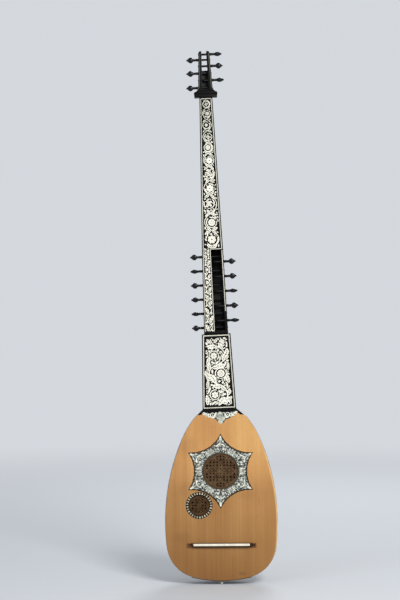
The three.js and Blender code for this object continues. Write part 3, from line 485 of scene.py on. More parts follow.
def wood_material(name, dark, light, roughness, coat=0, stretch=(180, 180, 6), specular=0.5):
    paint = Paint(name, roughness, coat, specular)
    grain, cloud = paint.noise(stretch, 4), paint.noise((14, 14, 9))
    tone = paint.ramp(grain, [(NOISE_LOW, linear(*dark)), (NOISE_HIGH, linear(*light))])
    tone = paint.tint(tone, 0.6, cloud, [(NOISE_LOW, (0.62, 0.6, 0.58)), (NOISE_HIGH, WHITE)])
    return paint.finish(tone, cloud, roughness - 0.07, roughness + 0.08, grain, 0.05)


def ivory_material(name, light, shade, roughness=0.3):
    """Ivory or bone, a little darker towards the upper pegbox, where less light falls in the photograph."""
    paint = Paint(name, roughness, coat=0.1)
    cloud, grain = paint.noise((30, 30, 14), 4), paint.noise((420, 420, 40), 2)
    tone = paint.ramp(cloud, [(0.3, linear(*shade)), (0.6, linear(*light))])
    tone = paint.tint(tone, 0.35, grain, [(0.3, (0.86, 0.84, 0.78)), (0.6, WHITE)])
    height = paint.rescale(paint.axis("Z"), 1.2, 1.72)
    tone = paint.tint(tone, 1, height, [(0, WHITE), (0.5, (0.95, 0.96, 0.95)), (1, (0.86, 0.88, 0.86))])
    return paint.finish(tone, cloud, roughness - 0.06, roughness + 0.08, grain, 0.03, 0.2)


def pearl_material(name, dull, plain, bright):
    """Mother-of-pearl: soft swirls of three tones, and cells with a tint of their own."""
    paint = Paint(name, 0.25, coat=0.15)
    cells = paint.node("ShaderNodeTexVoronoi", {"Vector": paint.place, "Scale": 120})
    hue = paint.node("ShaderNodeSeparateColor", {"Color": cells.outputs["Color"]}).outputs["Red"]
    swirl = paint.noise((80, 80, 80))
    tone = paint.ramp(swirl, [(0.3, linear(*dull)), (0.48, linear(*plain)), (0.66, linear(*bright))])
    tone = paint.tint(tone, 0.8, hue, [(0.1, linear(166, 172, 168)), (0.35, linear(238, 242, 232)),
                                       (0.6, linear(255, 253, 244)), (0.85, linear(214, 219, 214))])
    return paint.finish(tone, swirl, 0.2, 0.36, swirl, 0.04)


EVEN_GRAIN = (200, 200, 200)
ROSE_GRAIN = (60, 60, 200)
SPRUCE = spruce_material()
# inner wood: aged spruce, made darker still as painted shade, since it is seen only through the roses' holes
# inside the bowl
INNER = wood_material("inner_spruce", (52, 37, 24), (84, 62, 41), 0.8, stretch=(40, 400, 400), specular=0.2)
RIB = wood_material("rib_wood", (34, 20, 14), (66, 38, 24), 0.32, coat=0.25, specular=0.4)
EBONY = wood_material("ebony", (12, 11, 11), (24, 22, 21), 0.42, specular=0.07)
NECK_EBONY = wood_material("neck_ebony", (13, 11, 11), (27, 23, 21), 0.36, coat=0.02, specular=0.12)
PEG_EBONY = wood_material("peg_ebony", (11, 12, 14), (23, 24, 27), 0.27, specular=0.2)
HEAD_EBONY = wood_material("head_ebony", (9, 9, 9), (20, 20, 19), 0.36, specular=0.07)
HEAD_LINE = wood_material("head_line", (62, 68, 56), (92, 98, 84), 0.4, specular=0.15)
BRIDGE_WOOD = wood_material("bridge_wood", (27, 16, 9), (50, 31, 18), 0.5, stretch=(9, 260, 260), specular=0.1)
BLOCK_WOOD = wood_material("bridge_block_wood", (86, 52, 30), (138, 94, 60), 0.55, stretch=(120, 260, 160),
                           specular=0.12)
RIM_WOOD = wood_material("rose_rim_wood", (58, 46, 32), (96, 80, 58), 0.55, stretch=EVEN_GRAIN, specular=0.15)
ROSE_WOOD = wood_material("rose_wood", (75, 54, 35), (115, 89, 62), 0.75, stretch=ROSE_GRAIN, specular=0.15)
SMALL_ROSE_WOOD = wood_material("small_rose_wood", (62, 43, 25), (98, 73, 46), 0.75, stretch=ROSE_GRAIN,
                                specular=0.12)
MASTIC = wood_material("dark_mastic", (14, 13, 13), (30, 28, 26), 0.5, stretch=(220, 220, 220), specular=0.08)
IVORY = ivory_material("ivory", (246, 243, 230), (224, 221, 205))
LINE_IVORY = ivory_material("line_ivory", (214, 212, 196), (188, 187, 170))
BUTTON_IVORY = ivory_material("button_ivory", (176, 178, 166), (142, 144, 134))
BONE = ivory_material("bone", (242, 236, 220), (222, 212, 190), 0.35)
PEARL = pearl_material("pearl", (158, 160, 150), (200, 202, 192), (236, 236, 226))
WHITE_PEARL = pearl_material("white_pearl", (222, 222, 212), (240, 239, 230), (252, 251, 244))
WARM_PEARL = pearl_material("warm_pearl", (148, 138, 116), (190, 178, 154), (228, 217, 194))
GREY_PEARL = pearl_material("grey_pearl", (46, 46, 42), (66, 66, 60), (88, 89, 82))

# Materials of the CAD nodes, by their names or by the word that numbered names start with
CAD_MATERIALS = {
    "soundboard": SPRUCE, "bar": INNER, "neck_block": INNER, "tail_block": INNER, "rib": RIB, "peg": PEG_EBONY,
    "star_border": EBONY, "collar": EBONY, "fingerboard": EBONY, "arm_veneer": EBONY, "lower_nut": EBONY,
    "upper_nut": EBONY, "upper_pegbox": EBONY, "end_clasp": NECK_EBONY, "neck": NECK_EBONY, "arm": NECK_EBONY,
    "fingerboard_frame": LINE_IVORY, "cheek_stringing": LINE_IVORY, "end_button": IVORY, "arm_panel": IVORY,
    "fingerboard_panel": IVORY, "bridge": BRIDGE_WOOD, "bridge_cap": BONE, "star_panel": PEARL,
    "small_rose_ring": PEARL, "beard_inlay": PEARL, "rose_main": ROSE_WOOD, "rose_small": ROSE_WOOD,
}
for name, node in nodes.items():
    node.data.materials.clear()
    node.data.materials.append(CAD_MATERIALS.get(name) or CAD_MATERIALS[name.split("_")[0]])


# Meshes. A layer is the pair of depths between which a shape lies.
def half_widths(halves, count):
    """The half width at each of a path's points, from one number or from the first and last in a tuple."""
    if isinstance(halves, tuple):
        return [mix(*halves, k / (count - 1)) for k in range(count)]
    return halves if isinstance(halves, list) else [halves] * count


class Solid:
    """Closed shells gathered into one mesh."""

    def __init__(self):
        self.points = []
        self.faces = []

    def add(self, points, faces):
        start = len(self.points)
        self.points.extend(points)
        self.faces.extend(tuple(start + corner for corner in face) for face in faces)

    def prism(self, outline, layer, place):
        count = len(outline)
        points = [place(x, y, z) for y in layer for x, z in outline]
        sides = [(k, (k + 1) % count, (k + 1) % count + count, k + count) for k in range(count)]
        self.add(points, [tuple(range(count)), tuple(range(2 * count - 1, count - 1, -1)), *sides])

    def band(self, path, halves, layer, place, closed=False):
        """A flat strip along the path."""
        count = len(path)
        points = []
        for k, ((x, z), half) in enumerate(zip(path, half_widths(halves, count))):
            if closed:
                before, after = path[k - 1], path[(k + 1) % count]
            else:
                before, after = path[max(0, k - 1)], path[min(count - 1, k + 1)]
            run, rise = after[0] - before[0], after[1] - before[1]
            length = math.hypot(run, rise) or 1
            across, up = -rise / length * half, run / length * half
            points += [place(x + side * across, y, z + side * up) for y in layer for side in (1, -1)]
        faces = []
        for k in range(count if closed else count - 1):
            a, b = 4 * k, 4 * ((k + 1) % count)
            faces += [(a, a + 1, b + 1, b), (a + 2, b + 2, b + 3, a + 3)]
            faces += [(a, b, b + 2, a + 2), (a + 1, a + 3, b + 3, b + 1)]
        if not closed:
            last = 4 * (count - 1)
            faces += [(0, 2, 3, 1), (last, last + 1, last + 3, last + 2)]
        self.add(points, faces)

    def loft(self, rings):
        """A closed skin over rings that have the same number of points."""
        count, last = len(rings[0]), (len(rings) - 1) * len(rings[0])
        faces = []
        for start in range(0, last, count):
            for side in range(count):
                a, b = start + side, start + (side + 1) % count
                faces.append((a, b, b + count, a + count))
        faces += [tuple(range(count - 1, -1, -1)), tuple(range(last, last + count))]
        self.add([point for ring in rings for point in ring], faces)


@contextlib.contextmanager
def edited(mesh):
    """The mesh as an open bmesh, which is written back at the end."""
    work = bmesh.new()
    work.from_mesh(mesh)
    yield work
    work.to_mesh(mesh)
    work.free()


def smooth(mesh, angle):
    """Smooth shading, apart from the edges that are sharper than the angle in degrees."""
    mesh.polygons.foreach_set("use_smooth", [True] * len(mesh.polygons))
    mesh.set_sharp_from_angle(angle=math.radians(angle))


def finish_piece(name, mesh, material, body, replaces):
    mesh.materials.clear()
    mesh.materials.append(material)
    piece = bpy.data.objects.new(name, mesh)
    bpy.context.scene.collection.objects.link(piece)
    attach(piece, body)
    if replaces:
        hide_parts(*replaces)


def add_piece(name, solid, material, body=BODY, replaces=(), smooth_angle=None):
    mesh = bpy.data.meshes.new(name)
    mesh.from_pydata(solid.points, [], solid.faces)
    with edited(mesh) as work:
        bmesh.ops.recalc_face_normals(work, faces=work.faces)
    if smooth_angle:
        smooth(mesh, smooth_angle)
    finish_piece(name, mesh, material, body, replaces)


def outline_plate(name, loops, layer, place, material, bevel=0, replaces=()):
    """A plate with holes: every loop is one closed outline, and a loop inside another is a hole."""
    front, back = layer
    curve = bpy.data.curves.new(name + "_curve", "CURVE")
    curve.dimensions = "2D"
    curve.fill_mode = "BOTH"
    curve.extrude = (back - front) / 2 - bevel
    curve.bevel_depth = bevel
    curve.bevel_resolution = 1
    curve.offset = -bevel
    for loop in loops:
        spline = curve.splines.new("POLY")
        spline.points.add(len(loop) - 1)
        spline.points.foreach_set("co", [value for x, z in loop for value in (x, z, 0, 1)])
        spline.use_cyclic_u = True
    holder = bpy.data.objects.new(name + "_curve", curve)
    mesh = bpy.data.meshes.new_from_object(holder)
    bpy.data.objects.remove(holder)
    bpy.data.curves.remove(curve)
    for vertex in mesh.vertices:
        x, z, away = vertex.co
        vertex.co = place(x, (front + back) / 2 - away, z)
    with edited(mesh) as work:
        bmesh.ops.remove_doubles(work, verts=work.verts, dist=2 * WELD)
        bmesh.ops.recalc_face_normals(work, faces=work.faces)
    mesh.name = name
    finish_piece(name, mesh, material, BODY, replaces)


# Shapes of the ornament, drawn as closed outlines or as paths in a panel's own x and z
def circle(x, z, radius, steps):
    return [polar(x, z, radius, TURN * k / steps) for k in range(steps)]


def coil(x, z, radius, turn, sweep, steps, shrink=0.1):
    """An open coil that starts in the direction turn and draws in by the shrink."""
    return [polar(x, z, radius * (1 - shrink * k / steps), turn + sweep * k / steps) for k in range(steps + 1)]


def curve_path(points, steps):
    """A smooth open path through the points."""
    path = []
    ends = [points[0], *points, points[-1]]
    for k in range(1, len(ends) - 2):
        a, b, c, d = ends[k - 1:k + 3]
        for step in range(steps):
            t = step / steps
            path.append(tuple(
                0.5 * (2 * b[i] + (c[i] - a[i]) * t + (2 * a[i] - 5 * b[i] + 4 * c[i] - d[i]) * t * t
                       + (3 * b[i] - a[i] - 3 * c[i] + d[i]) * t ** 3)
                for i in (0, 1)))
    path.append(tuple(points[-1]))
    return path


def leaf_spine(x, z, angle, length, bend, steps):
    spine = [(x, z)]
    for k in range(1, steps + 1):
        spine.append(polar(*spine[-1], length / steps, angle + bend * k / steps))
    return spine


def leaf(x, z, angle, length, width, bend=0.0, lobes=3, steps=15):
    """A pointed leaf with a bent midrib and lobed edges."""
    left, right = [], []
    for k, (px, pz) in enumerate(leaf_spine(x, z, angle, length, bend, steps)):
        t = k / steps
        swell = math.sin(math.pi * min(1, t * 0.93 + 0.07)) ** 0.8
        notch = 0.68 + 0.32 * abs(math.sin(math.pi * lobes * t))
        half = width / 2 * swell * notch if k < steps else 0
        normal = (-math.sin(angle + bend * t), math.cos(angle + bend * t))
        left.append((px + normal[0] * half, pz + normal[1] * half))
        right.append((px - normal[0] * half, pz - normal[1] * half))
    return left + right[:-1][::-1]


def leaf_veins(x, z, angle, length, width, bend, pairs, half=0.62):
    """Engraved lines of a leaf, as paths and half widths: its midrib and pairs of side veins."""
    spine = leaf_spine(x, z, angle, length, bend, 12)
    lines = [(spine[1:10], (half, 0.45 * half))]
    for pair in range(pairs):
        t = (pair + 1) / (pairs + 1.4)
        foot = spine[int(12 * t)]
        for side in (-1, 1):
            tip = polar(*foot, 0.36 * width * (1 - 0.35 * t), angle + bend * t + side * 0.75)
            lines.append(([foot, tip], (0.8 * half, 0.4 * half)))
    return lines


def flower(x, z, radius, petals, phase, depth, steps=6):
    """The scalloped outline of a round flower."""
    outline = []
    for k in range(petals * steps):
        angle = phase + TURN * k / (petals * steps)
        swell = abs(math.cos((angle - phase) * petals / 2)) ** 0.6
        outline.append(polar(x, z, radius * (1 - depth + depth * swell), angle))
    return outline


def within(outline, x, z):
    """Which of the places in the arrays x and z lie inside the outline."""
    odd = np.zeros(np.shape(x), bool)
    for (ax, az), (bx, bz) in zip(outline, outline[1:] + outline[:1]):
        if az != bz:
            odd ^= ((az > z) != (bz > z)) & (x < (bx - ax) * (z - az) / (bz - az) + ax)
    return odd


def layered(bands, outlines, layer, place):
    """Each shape stands a hair above or below its neighbour, so that no two faces lie in one plane."""
    front, back = layer
    made = Solid()
    for k, (path, halves, closed) in enumerate(bands):
        made.band(path, halves, (front - SHAPE_STEP * (k % SHAPE_CYCLE), back), place, closed)
    for k, outline in enumerate(outlines):
        made.prism(outline, (front - SHAPE_STEP * (SHAPE_CYCLE + k % SHAPE_CYCLE), back), place)
    return made


class Ornament:
    """Pale shapes and dark details of one panel, with a raster of what is already covered."""

    def __init__(self, bounds, inside):
        (self.left, self.right), (self.foot, self.top) = bounds
        columns = int((self.right - self.left) / RASTER_CELL) + 1
        rows = int((self.top - self.foot) / RASTER_CELL) + 1
        xs = self.left + RASTER_CELL * (np.arange(columns) + 0.5)
        zs = self.foot + RASTER_CELL * (np.arange(rows) + 0.5)
        self.grid_x, self.grid_z = np.meshgrid(xs, zs)
        self.taken = ~inside(self.grid_x, self.grid_z)
        self.pale, self.bands = [], []
        self.dark, self.dark_bands = [], []

    def window(self, x, z, reach):
        """The part of the raster round a place."""
        low, high, foot, top = (max(0, int(span / RASTER_CELL) + more) for span, more in (
            (x - reach - self.left, 0), (x + reach - self.left, 1),
            (z - reach - self.foot, 0), (z + reach - self.foot, 1)))
        return slice(foot, top), slice(low, high)

    def disc(self, x, z, radius):
        part = self.window(x, z, radius)
        return part, (self.grid_x[part] - x) ** 2 + (self.grid_z[part] - z) ** 2 <= radius ** 2

    def mark_disc(self, x, z, radius):
        part, near = self.disc(x, z, radius)
        self.taken[part] |= near

    def is_free(self, x, z, radius):
        part, near = self.disc(x, z, radius)
        return near.size > 0 and not (self.taken[part] & near).any()

    def mark_outline(self, outline):
        points = np.array(outline)
        low, high = points.min(0), points.max(0)
        part = self.window(*(low + high) / 2, max(high - low) / 2 + RASTER_CELL)
        self.taken[part] |= within(outline, self.grid_x[part], self.grid_z[part])

    def add(self, outline):
        self.pale.append(outline)
        self.mark_outline(outline)

    def add_band(self, path, halves):
        self.bands.append((path, halves, False))
        for (x, z), half in zip(path, half_widths(halves, len(path))):
            self.mark_disc(x, z, half + BAND_MARGIN)

    def engrave(self, path, halves, closed=False):
        self.dark_bands.append((path, halves, closed))

    def add_leaf(self, x, z, angle, length, width, bend, lobes, pairs):
        """A leaf with its midrib and some pairs of veins, or with neither."""
        self.add(leaf(x, z, angle, length, width, bend, lobes))
        if pairs:
            for line in leaf_veins(x, z, angle, length, width, bend, pairs):
                self.engrave(*line)

    def fill(self, rng, sizes, gap, tries):
        """Fills free ground with small curled leaves that follow a slow swirl, the largest first."""
        for size in sizes:
            for _ in range(tries):
                x = rng.uniform(self.left, self.right)
                z = rng.uniform(self.foot, self.top)
                bend = rng.uniform(-1.5, 1.5)
                swirl = 1.9 * math.sin(0.13 * x + 0.05 * z) + 1.7 * math.sin(0.11 * z - 0.07 * x)
                angle = swirl + rng.uniform(-0.4, 0.4)
                space = gap(z) if callable(gap) else gap
                if not self.is_free(x, z, 0.8 * size + space):
                    continue
                for stretch in (2.1, 1.3, 0.7):
                    ends = [polar(x, z, stretch * size * t, angle + bend * t / 2) for t in (-1, 1)]
                    if all(self.is_free(*end, 0.45 * size + space) for end in ends):
                        break
                else:
                    continue
                length = (2 * stretch + 0.8) * size
                self.add(leaf(*ends[0], angle - bend / 2, length, 1.7 * size, bend, lobes=2, steps=9))
                self.mark_disc(x, z, 0.7 * size)

    def pale_solid(self, layer, place):
        return layered(self.bands, self.pale, layer, place)

    def dark_solid(self, layer, place):
        return layered(self.dark_bands, self.dark, layer, place)


def blossom(art, rng, x, z, radius, kind):
    """The head of a coil: an open flower, a fan of leaves or a berry in a ruff."""
    phase = rng.uniform(0, TURN)
    if kind == "flower":
        petals = rng.choice((5, 6, 7))
        art.add(flower(x, z, radius, petals, phase, 0.26))
        art.dark.append(circle(x, z, radius * 0.17, 9))
        for k in range(petals):
            turned = phase + TURN * (k + 0.5) / petals
            art.engrave([polar(x, z, share * radius, turned) for share in (0.42, 0.78)], (0.3, 0.14))
    elif kind == "fan":
        root = polar(x, z, -0.25 * radius, phase)
        for spread in (-1.5, -0.5, 0.5, 1.5):
            length = radius * (1.3 - 0.12 * abs(spread))
            art.add_leaf(*root, phase + spread * 1.3, length, radius * 0.8, rng.uniform(-0.3, 0.3), 2, 1)
    else:
        art.add(flower(x, z, radius, 9, phase, 0.16))
        art.engrave(circle(x, z, radius * 0.52, 16), 0.4, closed=True)
        for turned in (phase, phase + 2.1, phase + 4.2):
            art.dark.append(circle(*polar(x, z, 0.24 * radius, turned), 0.1 * radius, 6))


def bays_between(rng, half, foot, top, slender):
    """Bays of a scroll: side, foot and top of each. They are about as high as the panel is wide, but uneven."""
    heights = [mix(foot, top, k / 400) for k in range(401)]
    phase = [0.0]
    for low, high in zip(heights, heights[1:]):
        phase.append(phase[-1] + (high - low) / (2.2 * slender * half((low + high) / 2)))
    stretch = [rng.uniform(0.82, 1.2) for _ in range(max(1, round(phase[-1])))]
    shares = [0.0]
    for value in stretch:
        shares.append(shares[-1] + value / sum(stretch))
    starts = [float(np.interp(share * phase[-1], phase, heights)) for share in shares]
    return [(-1 if bay % 2 else 1, *ends) for bay, ends in enumerate(zip(starts, starts[1:]))]


# Heights over which the scroll thins out, at its foot and towards the head
SCROLL_FOOT = (600, 660)
SCROLL_HEAD = (860, 980)
SCROLL_KINDS = ("flower", "berry", "fan", "flower", "spray", "flower", "berry", "fan")


def running_scroll(art, rng, half, foot, top):
    """A waving stem with a broken coil and its head in each bay, and leaves in the corners."""
    bays = bays_between(rng, half, foot, top, 1.0)
    for bay, (side, low, high) in enumerate(bays):
        tall = high - low
        z = (low + high) / 2 + rng.uniform(-0.05, 0.05) * tall
        w = half(z)
        x = -side * rng.uniform(0, 0.2) * w
        radius = min(0.78 * w, 0.49 * tall) * rng.uniform(0.9, 1.02)
        stroke = 0.035 * w + 0.45
        turn = rng.uniform(-0.9, 0.9) + (0 if side > 0 else math.pi)
        kind = SCROLL_KINDS[bay % len(SCROLL_KINDS)]
        sweep = rng.uniform(0.9, 1.6) * math.pi
        art.add_band(coil(x, z, radius, turn, -side * sweep, 32), (1.3 * stroke, 0.7 * stroke))
        if kind == "spray":
            root = polar(x, z, -0.5 * radius, turn + math.pi)
            for k in range(-2, 3):
                length = radius * (1.5 - 0.16 * abs(k))
                art.add_leaf(*root, turn + math.pi + k * 0.62, length, 0.46 * radius, 0.3 * k, 3, 2)
        else:
            size = rng.uniform(0.66, 0.8) - 0.24 * rising(z, *SCROLL_HEAD) - 0.12 * falling(z, *SCROLL_FOOT)
            blossom(art, rng, x, z, radius * size, kind)
        for k in range(3):
            away = turn - side * sweep - side * (0.35 + 0.42 * k)
            root = polar(x, z, 0.84 * radius, away)
            art.add_leaf(*root, away - side * 0.9, rng.uniform(0.3, 0.42) * w, 0.2 * w, -side * 0.6, 2, 0)
        for across, up in ((-1, 1), (1, 1), (-1, -1), (1, -1)):
            root_x = across * rng.uniform(0.0, 0.16) * w
            root_z = mix(z, high if up > 0 else low, rng.uniform(0.9, 1.0))
            aim = math.atan2(-up * 0.36, across) + rng.uniform(-0.25, 0.25)
            length = rng.uniform(0.66, 0.9) * w
            width = rng.uniform(0.3, 0.46) * w * (1 - 0.3 * rising(z, *SCROLL_HEAD))
            art.add_leaf(root_x, root_z, aim, length, width, -across * up * rng.uniform(0.3, 0.9), 3, 2)
    heights = [(side, k, mix(low, high, k / 16)) for side, low, high in bays for k in range(16)]
    stem = [(side * 0.88 * half(z) * math.sin(math.pi * k / 16) ** 0.8, z) for side, k, z in heights]
    art.add_band(stem, [0.03 * half(z) + 0.4 for x, z in stem])


def leaf_chain(art, rng, middle, half, foot, top):
    """A narrow waving stem with a curled leaf in each bend and a spray of small leaves opposite."""
    stem = []
    for bay, (side, low, high) in enumerate(bays_between(rng, half, foot, top, 1.1)):
        for k in range(12):
            z = mix(low, high, k / 12)
            stem.append((middle(z) + side * 0.75 * half(z) * math.sin(math.pi * k / 12), z))
        centre = (low + high) / 2
        w, mid = half(centre), middle(centre)
        if (bay + rng.randrange(2)) % 3 == 0:
            blossom(art, rng, mid - side * 0.18 * w, centre, 0.56 * w, "flower")
        else:
            root, aim = (mid - side * 0.3 * w, mix(low, high, 0.04)), math.atan2(1, -side * 0.12)
            art.add_leaf(*root, aim, 0.86 * (high - low), w, side * 0.5, 3, 2)
        for share, up in ((0.3, -1), (0.72, 1)):
            root = (mid + side * 0.42 * w, mix(low, high, share))
            length = rng.uniform(0.85, 1.0) * w
            art.add_leaf(*root, math.atan2(up, side * 0.5), length, 0.56 * w, -side * up * 0.6, 2, 0)
    art.add_band(stem, 1.15)


# Second neck's panel: stringing lines and running scrolls of ivory in black, beside and above the lower pegbox
def arm_half(z):
    """Half the second neck's width at a height or at an array of heights."""
    foot_part = between(z, ARM_FOOT, SLOT_TOP, ARM_FOOT_HALF, ARM_WAIST_HALF)
    head_part = between(z, SLOT_TOP, ARM_LENGTH, ARM_WAIST_HALF, ARM_HEAD_HALF)
    return np.where(z < SLOT_TOP, foot_part, head_part)[()]


def slot_left(z):
    return between(z, SLOT_FOOT, SLOT_TOP, SLOT_FOOT_LEFT, SLOT_TOP_LEFT)


def arm_lines(outline):
    """Stringing along the panel's outline, open at its foot. Its middle runs half its width inside."""
    half = STRINGING / 2
    inward = ((-1, 0), (-1, 1), (-1, 1), (-1, -1), (1, -1), (1, 0), (1, 0))
    corners = [(x + half * across, z + half * up) for (x, z), (across, up) in zip(outline, inward)]
    lines = Solid()
    for a, b in zip(corners, corners[1:]):
        steps = max(2, int(math.hypot(b[0] - a[0], b[1] - a[1]) / LINE_STEP))
        path = [(mix(a[0], b[0], k / steps), mix(a[1], b[1], k / steps)) for k in range(steps + 1)]
        lines.band(path, half, ARM_LINE_LAYER, neck_point)
    return lines


def arm_panel():
    low, high, sill = NUT_TOP + ARM_PANEL_GAP, ARM_LENGTH - ARM_PANEL_INSET, SLOT_TOP + SLOT_RIM

    def rim(z):
        return slot_left(z) - SLOT_RIM

    def edge(z):
        return arm_half(z) - ARM_PANEL_INSET
    outline = [(rim(low), low), (rim(sill), sill), (edge(sill), sill), (edge(high), high)]
    outline += [(-edge(high), high), (-edge(sill), sill), (-edge(low), low)]
    ground = Solid()
    ground.prism([(x, max(z, ARM_FOOT + ARM_PANEL_POCKET)) for x, z in outline], ARM_GROUND, neck_point)
    add_piece("arm_panel_ground", ground, EBONY)
    add_piece("arm_stringing", arm_lines(outline), LINE_IVORY)

    # the scrolls keep clear of the stringing: a wide panel above the sill and a narrow leg below it
    inset = ARM_PANEL_INSET + STRINGING + LINE_GAP
    wide_low, wide_high = sill + STRINGING + LINE_GAP, high - STRINGING - LINE_GAP

    def wide(z):
        return arm_half(z) - inset

    def leg_right(z):
        return rim(z) - STRINGING - LINE_GAP

    def leg_middle(z):
        return (leg_right(z) - wide(z)) / 2

    def leg_half(z):
        return (leg_right(z) + wide(z)) / 2

    def inside(x, z):
        right = np.where(z < wide_low, leg_right(z), wide(z))
        return (x > -wide(z)) & (x < right) & (z > low + ARM_PANEL_GAP) & (z < wide_high)

    def gap(z):
        return 1.0 + 0.8 * rising(z, 880, 1040) + 0.6 * falling(z, 560, 680)

    def gap_in_leg(z):
        return 0.6 if z < wide_low else ARM_FOOT_HALF
    rng = random.Random(11)
    art = Ornament(((-ARM_FOOT_HALF, ARM_FOOT_HALF), (low, high)), inside)
    running_scroll(art, rng, wide, wide_low + SCROLL_MARGIN, wide_high - SCROLL_MARGIN)
    leaf_chain(art, rng, leg_middle, leg_half, low + CHAIN_MARGIN, wide_low - CHAIN_MARGIN)
    art.fill(rng, (3.2, 2.4, 1.8), gap, 1400)
    art.fill(rng, (1.5, 1.1), gap_in_leg, 3000)
    add_piece("arm_scrollwork", art.pale_solid(ARM_SCROLL_LAYER, neck_point), IVORY,
              replaces=("arm_panel",))
    add_piece("arm_scroll_engraving", art.dark_solid(ARM_ENGRAVING_LAYER, neck_point), MASTIC)


# Fingerboard's panel: a winding trunk with coils and leaves. Places are shares of the panel's half width and
# height, and lengths are in millimetres.
TRUNK = ((-0.05, 0), (0.45, 0.06), (0.72, 0.15), (0.45, 0.27), (-0.25, 0.33), (-0.7, 0.42), (-0.62, 0.54),
         (0, 0.6), (0.62, 0.67), (0.66, 0.78), (0.2, 0.86), (-0.3, 0.9), (-0.6, 0.98))
# share along the trunk, side, length, width
TRUNK_LEAVES = (
    (0.02, 1, 34, 19), (0.06, -1, 22, 13), (0.1, -1, 28, 17), (0.17, -1, 24, 15), (0.22, 1, 24, 14),
    (0.27, 1, 34, 19), (0.34, -1, 38, 22), (0.38, 1, 22, 13), (0.42, 1, 28, 16), (0.49, 1, 28, 16),
    (0.53, -1, 22, 13), (0.57, -1, 36, 21), (0.65, 1, 34, 19), (0.68, -1, 20, 12), (0.72, -1, 28, 17),
    (0.8, -1, 26, 16), (0.84, 1, 20, 12), (0.88, 1, 32, 18))
# place, radius, start, sense of turning, head
PANEL_COILS = (((-0.3, 0.155), 17, 1.2, 1, "flower"), ((0.26, 0.47), 19, 3.6, -1, "berry"),
               ((-0.3, 0.735), 16.5, 5.4, 1, "flower"), ((0.5, 0.935), 8, 3.2, -1, "flower"))
# place, direction, length, width
EDGE_LEAVES = (
    (-0.92, 0.01, 1.35, 36, 16), (0.92, 0.33, 2.1, 34, 16), (-0.92, 0.61, 1.0, 28, 14),
    (0.92, 0.52, 1.8, 26, 11), (-0.92, 0.27, 1.2, 26, 12), (0.05, 0.99, 4.3, 20, 11),
    (0.94, 0.01, 2.0, 22, 11), (-0.9, 0.98, 5.2, 20, 11))
COIL_START, COIL_SHRINK, COIL_SWEEP = 1.02, 0.1, 1.75 * math.pi


def fingerboard_panel():
    foot, top = SEAT_GAP + PANEL_INSET, NECK_LENGTH - PANEL_INSET

    def half(z):
        return between(z, SEAT_GAP, NECK_LENGTH, NECK_FOOT_HALF, NECK_HEAD_HALF) - PANEL_INSET

    def inside(x, z):
        return (abs(x) < half(z) - PANEL_EDGE_GAP) & (z > foot + PANEL_EDGE_GAP) & (z < top - PANEL_EDGE_GAP)

    def at(u, v):
        z = mix(foot + PANEL_MARGIN, top - PANEL_MARGIN, v)
        return (u * (half(z) - PANEL_MARGIN), z)
    ground = Solid()
    ground.prism([(half(foot), foot), (half(top), top), (-half(top), top), (-half(foot), foot)], PANEL_GROUND,
                 neck_point)
    add_piece("fingerboard_panel_ground", ground, EBONY)
    rng = random.Random(23)
    art = Ornament(((-NECK_FOOT_HALF, NECK_FOOT_HALF), (foot, top)), inside)
    trunk = curve_path([at(u, v) for u, v in TRUNK], 9)
    art.add_band(trunk, (2.3, 1.3))
    for centre, radius, turn, sense, kind in PANEL_COILS:
        x, z = at(*centre)
        spiral = coil(x, z, COIL_START * radius, turn, sense * COIL_SWEEP, 36, COIL_SHRINK / COIL_START)
        art.add_band(spiral, (1.9, 1.1))
        blossom(art, rng, x, z, radius * 0.7, kind)
    for share, side, length, width in TRUNK_LEAVES:
        k = min(len(trunk) - 2, int(share * (len(trunk) - 1)))
        (ax, az), (bx, bz) = trunk[k], trunk[k + 1]
        aim = math.atan2(bz - az, bx - ax) + side * 0.8
        art.add_leaf(ax, az, aim, length, width, -side * 0.9, 4, 3)
    for u, v, aim, length, width in EDGE_LEAVES:
        art.add_leaf(*at(u, v), aim, length, width, 0.5 if u < 0 else -0.5, 4, 3)
    art.fill(rng, (4.6, 3.4, 2.6, 2.0), 0.6, 1600)
    add_piece("fingerboard_arabesque", art.pale_solid(PANEL_IVORY, neck_point), IVORY,
              replaces=("fingerboard_panel",))
    add_piece("fingerboard_engraving", art.dark_solid(PANEL_LINES, neck_point), MASTIC)


arm_panel()
fingerboard_panel()


# Pearl work on the soundboard
def star_outline(inset, steps=12):
    """The star between its points: six hollow sides, each an arc, moved inward by the inset."""
    step = TURN / STAR_POINTS
    along, aside = STAR_RADIUS * math.cos(step / 2), STAR_RADIUS * math.sin(step / 2)
    sag = along - STAR_WAIST
    arc = (aside ** 2 + sag ** 2) / (2 * sag)
    centre = STAR_WAIST + arc
    reach = arc + inset
    sweep = math.asin(min(1, centre * math.sin(step / 2) / reach)) - step / 2
    outline = []
    for side in range(STAR_POINTS):
        facing = step * side + math.pi / 2 + step / 2
        middle = polar(ROSE_X, ROSE_Z, centre, facing)
        outline += [polar(*middle, reach, facing + math.pi + sweep * (1 - 2 * k / steps)) for k in range(steps)]
    return outline


# Pearl leaves at both sides of a star point's middle: distance out, aside, direction, length, width, bend
STAR_LEAVES = ((84.5, 5, 0.9, 11, 4.2, 0.9), (70.5, 15, 0.3, 13, 5, 0.5), (68, 3.6, 0.2, 8.5, 3.6, 0.4),
               (95.5, 11.8, -0.45, 12, 3.6, 0.5))
# bars over a hollow side of the star, each from its inner to its outer radius
STAR_BARS = ((64.5, 80), (66, 86), (64, 84), (65.5, 87), (64, 84), (66, 86), (64.5, 80))
STAR_BAR_ANGLE = 0.059
STAR_BAR_HALF = 1.35


